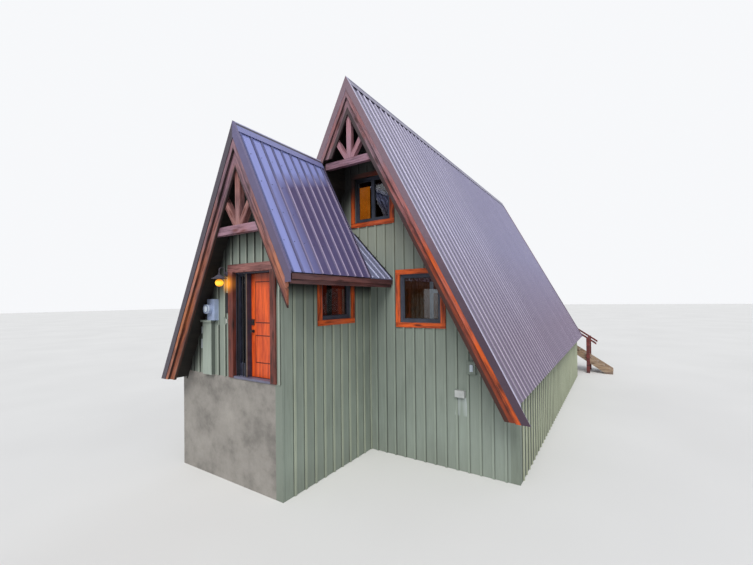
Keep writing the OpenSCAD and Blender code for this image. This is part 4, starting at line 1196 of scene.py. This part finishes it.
@dataclass
class Shell:
    """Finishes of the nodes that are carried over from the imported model."""

    finishes: Finishes

    def dress(self) -> None:
        """Give each carried-over node its finish."""
        put = self.finishes.dress
        put("siding_front", "main_front_wall", "main_back_wall", "wing_back_gable")
        put("siding_wing", "wing_left_wall", "wing_right_wall", "wing_gable_wall")
        put("siding_box", "meter_chase")
        put("siding_side", "wing_side_wall")
        put("siding_eave", "right_side_wall", "left_side_wall")
        put("roof_coat", "roof_sheet_right", "roof_sheet_left")
        put("wing_coat", "wing_sheet_right", "wing_sheet_left")
        put("saddle_coat", "saddle_roof")
        put("main_trim_coat", "front_metal_trim", "back_metal_trim")
        put("wing_trim_coat", "wing_metal_trim")
        put("main_ridge_coat", "main_ridge_cap")
        put("wing_ridge_coat", "wing_ridge_cap")
        put("gable_stain", "front_gable_boards", "back_gable_boards")
        put("wing_gable_stain", "wing_gable_boards")
        put("main_truss_stain", "front_truss", "back_truss")
        put("wing_truss_stain", "wing_truss")
        put("tie_stain", "front_collar_tie", "wing_collar_tie")
        put("soffit_boards_painted_shade", "main_roof_right", "main_roof_left", "wing_roof_right", "wing_roof_left")
        put("floor_boards", "main_floor", "wing_floor")
        put("concrete", "wing_base_wall", "wing_foot_wall")
        put("casing_stain", "front_window_trims", "back_window_trims")
        put("casing_side_stain", "side_window_trim")
        put("charcoal_coat", "front_window_frames", "side_window_frame", "back_window_frames")
        put("door_frame_coat", "door_frame")
        put("clear_glass", "window_glass")
        put("fascia_stain", "wing_eave_boards")
        put("door_trim_stain", "door_trim")
        put("door_stain", "door_leaf")
        put("black_coat", "door_handles", "door_hinges")
        put("lamp_coat", "lamp")
        put("amber_glow", "lamp_globe")
        put("grey_enamel", "meter_box")
        put("plate_coat", "number_plate")
        put("outlet_coat", "outlet_box")
        put("vent_coat", "vent_hood")
        put("deck_timber", "back_deck", "back_stair")
        put("rail_stain", "back_railing")


@dataclass
class Battens:
    """Narrow battens over the joints of one wall's boards."""

    name: str
    face: float
    outward: int
    run: Run
    spans: Sequence[float]
    foot: float
    top: Callable[[float], float]
    gaps: Sequence[tuple[Span, Span]] = ()
    width: float = 0.046
    thick: float = 0.022

    def ends(self, place: float) -> float:
        """Return the lower of the heights at the two edges of a batten's top."""
        return min(self.top(place - self.width / 2), self.top(place + self.width / 2))

    def pieces(self, place: float) -> list[Span]:
        """Return the uninterrupted lengths of the batten at a place.

        Args:
            place: Middle of the batten along the wall.

        Returns:
            Low and high ends.
        """
        edge = self.width / 2
        found = [(self.foot, self.ends(place))]
        for (a, b), (low, high) in self.gaps:
            if place + edge > a and place - edge < b:
                found = [part for lo, hi in found
                         for part in ((lo, min(hi, low)), (max(lo, high), hi)) if part[1] > part[0] + 0.03]
        return found

    def build(self, finishes: Finishes, material: str) -> None:
        """Build the wall's battens as one piece.

        Args:
            finishes: The cabin's finishes.
            material: The battens' finish.
        """
        work = Work(self.name)
        along_x = self.run is Run.ALONG_X
        near, far = sorted((self.face - BATTEN_SINK * self.outward, self.face + self.thick * self.outward))
        for place in self.spans:
            for low, high in self.pieces(place):
                a, b = place - self.width / 2, place + self.width / 2
                verts = work.block((a, near, low), (b, far, high)) if along_x else \
                    work.block((near, a, low), (far, b, high))
                for v in verts:
                    if v.co.z > high - 0.001 and high == self.ends(place):
                        v.co.z = self.top(v.co.x if along_x else v.co.y)
        work.finish(finishes[material], "siding")


@dataclass
class WallBattens:
    """Battens on every wall, clear of the openings and fittings."""

    finishes: Finishes

    def row(self, row: Span, low: float, high: float) -> list[float]:
        """Return the places of battens between two ends.

        Args:
            row: A place that holds a batten, and the distance from one batten to the next.
            low: First end.
            high: Last end.

        Returns:
            The places.
        """
        start, pitch = row
        first = math.ceil((low - start) / pitch)
        last = math.floor((high - start) / pitch)
        return [start + i * pitch for i in range(first, last + 1)]

    def build(self) -> None:
        """Build the battens of each wall."""
        rows = self.row(FRONT_ROW, -3.30, 3.30)
        left_rows = [x for x in rows if x <= WING_EAVE_X]
        side_rows = self.row(SIDE_ROW, FRONT_Y + 0.05, BACK_Y - 0.05)
        over_roof = [((x - 0.001, x + 0.001), (-1.0, over_saddle(x))) for x in left_rows]
        door = ((DOOR_X0 - 0.135, DOOR_X1 + 0.135), (FLOOR_Z - 0.01, DOOR_TOP + 0.14))
        deck = ((-2.0, 2.0), (1.88, 2.08))
        walls = [
            ("batten_front", Battens(
                "siding_battens_front_right", FRONT_Y, -1, Run.ALONG_X,
                [x for x in rows if x > WING_EAVE_X], 0.0, MAIN.soffit,
                [UPPER.room, LOWER.room, *FRONT_FITTINGS.values()])),
            ("batten_front", Battens(
                "siding_battens_front_low", FRONT_Y, -1, Run.ALONG_X,
                [x for x in left_rows if x > WING_SIDE_X + 0.03], 0.0, under_saddle, [LOWER.room])),
            ("batten_front", Battens(
                "siding_battens_front_high", FRONT_Y, -1, Run.ALONG_X,
                [x for x in left_rows if MAIN.soffit(x) > over_saddle(x) + 0.1], 0.0, MAIN.soffit,
                [UPPER.room, *over_roof])),
            ("batten_front", Battens(
                "siding_battens_back", BACK_Y, 1, Run.ALONG_X, rows, 0.0, MAIN.soffit,
                [BACK_UPPER.room, BACK_RIGHT.room, BACK_LEFT.room, deck])),
            *(("batten_eave", Battens(
                f"siding_battens_{name}", sign * KNEE_X, sign, Run.ALONG_Y, side_rows, 0.0,
                lambda y: EAVE_Z)) for name, sign in (("right", 1), ("left", -1))),
            ("batten_side", Battens(
                "siding_battens_wing_side", WING_SIDE_X, 1, Run.ALONG_Y,
                self.row(SIDE_ROW, WING_FACE_Y + 0.02, FRONT_Y - 0.01), 0.0, wing_side_top, [SIDE.room])),
            ("batten_wing", Battens(
                "siding_battens_wing_front", WING_FACE_Y, -1, Run.ALONG_X,
                self.row(WING_ROW, -3.2, WING_SIDE_X - 0.03), FLOOR_Z, WING.soffit,
                [door, *WING_FITTINGS.values()])),
        ]
        for material, battens in walls:
            battens.build(self.finishes, material)


@dataclass
class Screws:
    """Rows of roofing screws beside the ribs of one slope."""

    name: str
    slope: Slope
    side: int
    first: float
    ribs: int
    rows: Sequence[float]
    material: str = "dark_flashing"
    head: float = 0.0105

    def build(self, finishes: Finishes) -> None:
        """Build the slope's screws as one piece.

        Args:
            finishes: The cabin's finishes.
        """
        work = Work(self.name)
        turn = self.slope.turn(self.side)
        for i in range(self.ribs):
            y = self.first + i * RIB_PITCH + 0.075
            for down in self.rows:
                spot = self.slope.place(self.side, down, y, 0.003)
                bmesh.ops.create_cone(work.bm, cap_ends=True, segments=6, radius1=self.head,
                                      radius2=self.head * 0.62, depth=0.008,
                                      matrix=Matrix.Translation(spot) @ turn)
        work.finish(finishes[self.material], "roof_metal")


@dataclass
class Roof:
    """Screws, flashings and laps on the ribbed roofs."""

    finishes: Finishes
    row_gap: float = 0.61

    def screw_rows(self, first: float, last: float, gap: float) -> list[float]:
        """Return distances down a slope that hold a row of screws."""
        return [first + i * gap for i in range(int((last - first) / gap) + 1)]

    def build(self) -> None:
        """Build the screws and flashings."""
        length = (MAIN.ridge_z - EAVE_Z) / MAIN.sin
        start, wing_start = RAKE_Y + RIB_START, WING_RAKE_Y + RIB_START
        ribs = int((BACK_RAKE_Y - 0.060 - start) / RIB_PITCH)
        rows = self.screw_rows(0.45, length - 0.1, 2 * self.row_gap)
        for name, side in (("right", 1), ("left", -1)):
            Screws(f"roof_screws_{name}", MAIN, side, start, ribs, rows, "roof_coat").build(self.finishes)
        for name, side, wing_ribs, last in (("right", 1, 9, 2.95), ("left", -1, 12, 5.2)):
            Screws(f"wing_screws_{name}", WING, side, wing_start, wing_ribs,
                   self.screw_rows(0.62, last, self.row_gap)).build(self.finishes)
        self.flashings()

    def flashings(self) -> None:
        """Build the dark flashing where the saddle meets the wall, and the edge of the steep roof."""
        work = Work("saddle_flashing")
        top = -0.40
        verts = work.block((top, FRONT_Y - 0.006, 0.0), (WING_EAVE_X, FRONT_Y + 0.001, 1.0))
        for v in verts:
            lift = 0.032 if v.co.z > 0.5 else -0.01
            v.co.z = saddle_height(v.co.x) + lift
        turn_up = work.block((top, FRONT_Y - 0.035, 0.0), (WING_EAVE_X, FRONT_Y - 0.002, 1.0))
        for v in turn_up:
            v.co.z = saddle_height(v.co.x) + (0.028 if v.co.z > 0.5 else 0.022)
        work.finish(self.finishes["dark_flashing"], "roof_metal")
        work = Work("wing_end_trim")
        turn = Matrix.Translation((WING.ridge_x, 0, WING.ridge_z)) @ WING.turn(1)
        work.block((0.02, WING_END_Y - 0.03, -0.02), (3.05, WING_END_Y + 0.004, 0.026), turn)
        work.finish(self.finishes["cap_coat"], "trim_metal")


@dataclass
class Windows:
    """Sashes, seals and what shows through the glass."""

    finishes: Finishes
    frame_w: float = 0.055
    back: float = 0.025

    def ring(self, work: Work, unit: WindowUnit, x0: float, x1: float, z0: float, z1: float,
             y0: float, y1: float, width: float) -> None:
        """Add four bars round a rectangle.

        Args:
            work: The piece they are added to.
            unit: The window.
            x0: Left outer edge.
            x1: Right outer edge.
            z0: Lower outer edge.
            z1: Upper outer edge.
            y0: Front of the bars.
            y1: Back of the bars.
            width: Width of the bars.
        """
        for low, high in (((x0, y0, z0), (x1, y1, z0 + width)), ((x0, y0, z1 - width), (x1, y1, z1)),
                          ((x0, y0, z0 + width), (x0 + width, y1, z1 - width)),
                          ((x1 - width, y0, z0 + width), (x1, y1, z1 - width))):
            work.soft_block(low, high, 0.004, unit.place)

    def build(self) -> None:
        """Build the sashes, seals and room backs."""
        sashes, seals = Work("window_sashes"), Work("window_seals")
        for unit in (UPPER, LOWER, SIDE, BACK_UPPER, BACK_RIGHT, BACK_LEFT):
            half, f = unit.width / 2 - self.frame_w, self.frame_w
            z0, z1 = f, unit.height - f
            front = self.back + 0.012
            if unit.slider:
                self.ring(sashes, unit, -half, 0.030, z0, z1, front + 0.016, front + 0.044, 0.032)
                self.ring(sashes, unit, -0.030, half, z0, z1, front, front + 0.028, 0.036)
                self.ring(seals, unit, -half + 0.032, -0.002, z0 + 0.032, z1 - 0.032,
                          front + 0.02, front + 0.046, 0.008)
                self.ring(seals, unit, 0.006, half - 0.036, z0 + 0.036, z1 - 0.036,
                          front + 0.008, front + 0.030, 0.008)
            else:
                self.ring(sashes, unit, -half, half, z0, z1, front, front + 0.03, 0.030)
                self.ring(seals, unit, -half + 0.03, half - 0.03, z0 + 0.03, z1 - 0.03,
                          front + 0.008, front + 0.034, 0.008)
        sashes.finish(self.finishes["charcoal_coat"], "window_frame")
        seals.finish(self.finishes["rubber_seal"], "window_frame")
        self.rooms()

    def rooms(self) -> None:
        """Build the wood linings that show dimly through the glass; their glow is painted light."""
        warm = Work("upper_room_panel")
        for i in range(5):
            x = -0.800 + i * 0.102
            warm.soft_block((x - 0.02, 0.42, 5.30), (x + 0.078, 0.45, 6.53), 0.004)
        warm.finish(self.finishes["room_light"], "floor_boards")
        board = 0.155
        brown = Work("lower_room_panels")
        for i in range(14):
            x = -0.90 + i * board
            brown.soft_block((x, 2.60, 2.09), (x + 0.15, 2.63, MAIN.height(x + 0.16, 0.25)), 0.004)
        brown.finish(self.finishes["room_brown_painted_glow"], "floor_boards")
        red = Work("entry_room_panels")
        for i in range(3):
            x = -1.80 + i * 0.148
            red.soft_block((x, FRONT_Y - 0.03, 2.09), (x + 0.144, FRONT_Y - 0.005, 4.1), 0.004)
        turn = Matrix.Translation((0, 0, MAIN.ridge_z)) @ MAIN.turn(-1)
        for i in range(20):
            y = 0.16 + i * board
            red.soft_block((3.8, -y - 0.15, -0.235), (6.9, -y, -0.215), 0.004, turn)
        red.finish(self.finishes["room_red_painted_glow"], "floor_boards")
        soft_piece(self.finishes, "lower_room_frame", "pale_paint_painted_glow", "floor_boards", 0.006,
                   [((0.33, 2.54, 2.5), (0.44, 2.58, 4.1)), ((0.44, 2.54, 3.76), (0.78, 2.58, 3.88)),
                    ((0.44, 2.54, 2.5), (0.78, 2.58, 2.6))])


@dataclass
class Entry:
    """Raised panels of the door, its sill, weather strip and the fittings beside it."""

    finishes: Finishes
    leaf_x0: float = -0.974
    leaf_x1: float = -0.276
    leaf_z0: float = 2.117
    leaf_y: float = -2.605
    leaf_t: float = 0.045
    stile: float = 0.112
    panels: Sequence[Span] = ((0.269, 0.810), (1.037, 1.845))

    def build(self) -> None:
        """Build the door's details."""
        work = Work("door_panels")
        for a, b in self.panels:
            for front in (True, False):
                y0 = self.leaf_y if front else self.leaf_y + self.leaf_t
                self.panel(work, self.leaf_x0 + self.stile, self.leaf_x1 - self.stile,
                           self.leaf_z0 + a, self.leaf_z0 + b, y0, 1 if front else -1)
        work.finish(self.finishes["door_stain"], "door_wood", DOOR)
        self.grooves()
        self.strips()

    def grooves(self) -> None:
        """Add the dark beads round the door's sunk fields."""
        work = Work("door_beads")
        x0, x1, w = self.leaf_x0 + self.stile, self.leaf_x1 - self.stile, 0.021
        for a, b in self.panels:
            z0, z1 = self.leaf_z0 + a, self.leaf_z0 + b
            for y in (self.leaf_y + 0.004, self.leaf_y + self.leaf_t - 0.010):
                for low, high in (((x0, z0), (x1, z0 + w)), ((x0, z1 - w), (x1, z1)),
                                  ((x0, z0 + w), (x0 + w, z1 - w)), ((x1 - w, z0 + w), (x1, z1 - w))):
                    work.soft_block((low[0], y, low[1]), (high[0], y + 0.006, high[1]), 0.0015)
        work.finish(self.finishes["door_groove"], "door_wood", DOOR)

    def panel(self, work: Work, x0: float, x1: float, z0: float, z1: float, y: float, sign: int) -> None:
        """Add a raised panel with a sloping border inside a sunk field.

        Args:
            work: The piece.
            x0: Left edge of the sunk field.
            x1: Right edge.
            z0: Lower edge.
            z1: Upper edge.
            y: Face of the door.
            sign: 1 where the face looks to the front.
        """
        inset = 0.022
        verts = work.block((x0 + inset, min(y, y + sign * 0.011), z0 + inset),
                           (x1 - inset, max(y, y + sign * 0.011), z1 - inset))
        work.bm.normal_update()
        faces = [f for f in {f for v in verts for f in v.link_faces} if f.normal.y * sign < -0.5]
        bmesh.ops.inset_region(work.bm, faces=faces, thickness=0.042, depth=0.0)
        for v in {v for f in faces for v in f.verts}:
            v.co.y = y + sign * 0.002
        for v in verts:
            if abs(v.co.y - y) < 0.0005:
                v.co.y = y + sign * 0.0085

    def strips(self) -> None:
        """Add the sill, the bright weather strip and the small things on the wall."""
        wall, head = WING_FACE_Y, DOOR_TOP - 0.05
        for piece in (
                ("door_sill_plate", "sill_coat", "window_frame", 0.006,
                 [((DOOR_X0 + 0.02, wall - 0.02, FLOOR_Z - 0.012),
                   (DOOR_X1 - 0.02, wall + 0.10, FLOOR_Z + 0.034))]),
                ("door_weather_strip", "seam_strip", "window_frame", 0.002,
                 [((-1.000, wall + 0.030, FLOOR_Z + 0.034), (-0.986, wall + 0.046, head))]),
                ("sidelight_bars", "black_coat", "window_frame", 0.003,
                 [((x, wall + 0.032, FLOOR_Z + 0.036), (x + 0.012, wall + 0.048, head))
                  for x in (-1.300, -1.243, -1.110, -1.040)]),
                ("sidelight_tag", "pale_paint_painted_glow", "window_frame", 0.0015,
                 [((-1.105, wall + 0.078, 3.915), (-1.040, wall + 0.082, 3.995))]),
                ("door_bell", "bright_strip", "outlet_plastic", 0.006,
                 [((-1.572, wall - 0.022, 3.145), (-1.538, wall, 3.225))])):
            soft_piece(self.finishes, *piece)
        self.meter()
        for piece in (
                ("outlet_cover", "pale_paint_painted_glow", "outlet_plastic", 0.010,
                 [((2.575, FRONT_Y - 0.070, 2.09), (2.645, FRONT_Y - 0.040, 2.235))]),
                ("outlet_ledge", "outlet_coat", "outlet_plastic", 0.003,
                 [((2.520, FRONT_Y - 0.048, 2.030), (2.700, FRONT_Y - 0.001, 2.042))])):
            soft_piece(self.finishes, *piece)

    def meter(self) -> None:
        """Add the utility boxes beside the meter, and the meter's round face."""
        wall = WING_FACE_Y
        boxes = Work("utility_boxes")
        boxes.soft_block((-2.372, wall - 0.065, 2.605), (-2.290, wall, 2.80), 0.008)
        boxes.soft_block((-2.362, wall - 0.065, 2.915), (-2.290, wall, 3.06), 0.008)
        boxes.rod((-2.325, wall - 0.03, 2.79), (-2.325, wall - 0.03, 2.92), 0.014)
        boxes.finish(self.finishes["grey_box"], "grey_metal")
        corner, width, height = Vector((-2.095, wall - 0.190, 3.2)), 0.43, 0.54
        middle = corner + Vector((0.25 * width, 0.0, 0.43 * height))
        face = Work("meter_face")
        face.turned([(0.0, 0.004), (0.050, 0.004), (0.062, 0.0), (0.078, 0.0), (0.084, -0.006),
                     (0.090, -0.012), (0.093, -0.020), (0.090, -0.028)],
                    Matrix.Translation(middle) @ Matrix.Rotation(math.radians(90), 4, "X"))
        face.finish(self.finishes["pale_paint_painted_glow"], "grey_metal", smooth=True)


@dataclass
class Studio:
    """Camera, floor and light."""

    floor_size: float = 400.0
    eye: Point = (5.192, -7.080, 3.579)
    turns: Point = (30.704, 0.561, -0.670)
    lens: float = 17.076
    shift: Span = (-0.0385, 0.0179)

    def camera(self) -> None:
        """Put the camera where the photograph was taken."""
        yaw, pitch, roll = (math.radians(a) for a in self.turns)
        ahead = Vector((-math.sin(yaw) * math.cos(pitch), math.cos(yaw) * math.cos(pitch), math.sin(pitch)))
        right = Vector((math.cos(yaw), math.sin(yaw), 0.0))
        up = right.cross(ahead)
        r2 = right * math.cos(roll) + up * math.sin(roll)
        u2 = up * math.cos(roll) - right * math.sin(roll)
        data = bpy.data.cameras.new("camera")
        data.sensor_width, data.lens = 36.0, self.lens
        data.shift_x, data.shift_y = self.shift
        data.clip_start, data.clip_end = 0.05, 500.0
        camera = bpy.data.objects.new("camera", data)
        turn = Matrix((r2, u2, -ahead)).transposed().to_4x4()
        camera.matrix_world = Matrix.Translation(self.eye) @ turn
        bpy.context.scene.collection.objects.link(camera)
        bpy.context.scene.camera = camera

    def lights(self) -> None:
        """Add a wide soft key light and a weak fill."""
        for name, turn, energy, angle, colour in (
                ("key", (math.radians(42), math.radians(10), math.radians(12)), 2.55, 35, (1.0, 0.98, 0.95)),
                ("fill", (math.radians(62), 0.0, math.radians(70)), 0.45, 60, (0.93, 0.96, 1.0))):
            data = bpy.data.lights.new(name, "SUN")
            data.energy, data.angle, data.color = energy, math.radians(angle), colour
            lamp = bpy.data.objects.new(name, data)
            lamp.rotation_euler = turn
            bpy.context.scene.collection.objects.link(lamp)

    def world(self) -> None:
        """Make the world a plain pale backdrop that lights evenly."""
        world = bpy.data.worlds.new("backdrop")
        bpy.context.scene.world = world
        world.use_nodes = True
        tree = world.node_tree
        tree.nodes.clear()
        out = tree.nodes.new("ShaderNodeOutputWorld")
        light = tree.nodes.new("ShaderNodeBackground")
        light.inputs["Color"].default_value = (0.86, 0.90, 1.0, 1.0)
        light.inputs["Strength"].default_value = 0.50
        seen = tree.nodes.new("ShaderNodeBackground")
        seen.inputs["Color"].default_value = (0.93, 0.94, 0.96, 1.0)
        seen.inputs["Strength"].default_value = 1.0
        path = tree.nodes.new("ShaderNodeLightPath")
        shown = path.outputs["Is Camera Ray"]
        for ray in ("Is Glossy Ray", "Is Transmission Ray"):
            either = tree.nodes.new("ShaderNodeMath")
            either.operation = "MAXIMUM"
            tree.links.new(shown, either.inputs[0])
            tree.links.new(path.outputs[ray], either.inputs[1])
            shown = either.outputs[0]
        mix = tree.nodes.new("ShaderNodeMixShader")
        tree.links.new(shown, mix.inputs[0])
        tree.links.new(light.outputs[0], mix.inputs[1])
        tree.links.new(seen.outputs[0], mix.inputs[2])
        tree.links.new(mix.outputs[0], out.inputs["Surface"])

    def floor(self) -> None:
        """Lay the plain pale floor under the lowest wall."""
        work = bmesh.new()
        bmesh.ops.create_grid(work, x_segments=1, y_segments=1, size=self.floor_size / 2,
                              matrix=Matrix.Translation((0, 0, -0.002)))
        mesh = bpy.data.meshes.new("studio_floor")
        work.to_mesh(mesh)
        work.free()
        r = Recipe("floor_paper")
        tone = r.blend(r.noise(r.place, 0.2, 2.0), paint(212, 212, 210), paint(218, 218, 216))
        r.set(Base_Color=tone, Roughness=0.9)
        mesh.materials.append(r.material)
        floor = bpy.data.objects.new("studio_floor", mesh)
        bpy.context.scene.collection.objects.link(floor)

    def build(self) -> None:
        """Set up the studio."""
        self.camera()
        self.lights()
        self.world()
        self.floor()
        bpy.context.scene.view_settings.view_transform = "Standard"


def main() -> None:
    """Build the studio, the finishes and every sub-assembly in order."""
    logging.basicConfig(level=logging.INFO, format="%(message)s")
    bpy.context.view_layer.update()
    Studio().build()
    finishes = Finishes()
    finishes.build()
    Shell(finishes).dress()
    WallBattens(finishes).build()
    Roof(finishes).build()
    Windows(finishes).build()
    Entry(finishes).build()


if __name__ == "__main__":
    main()
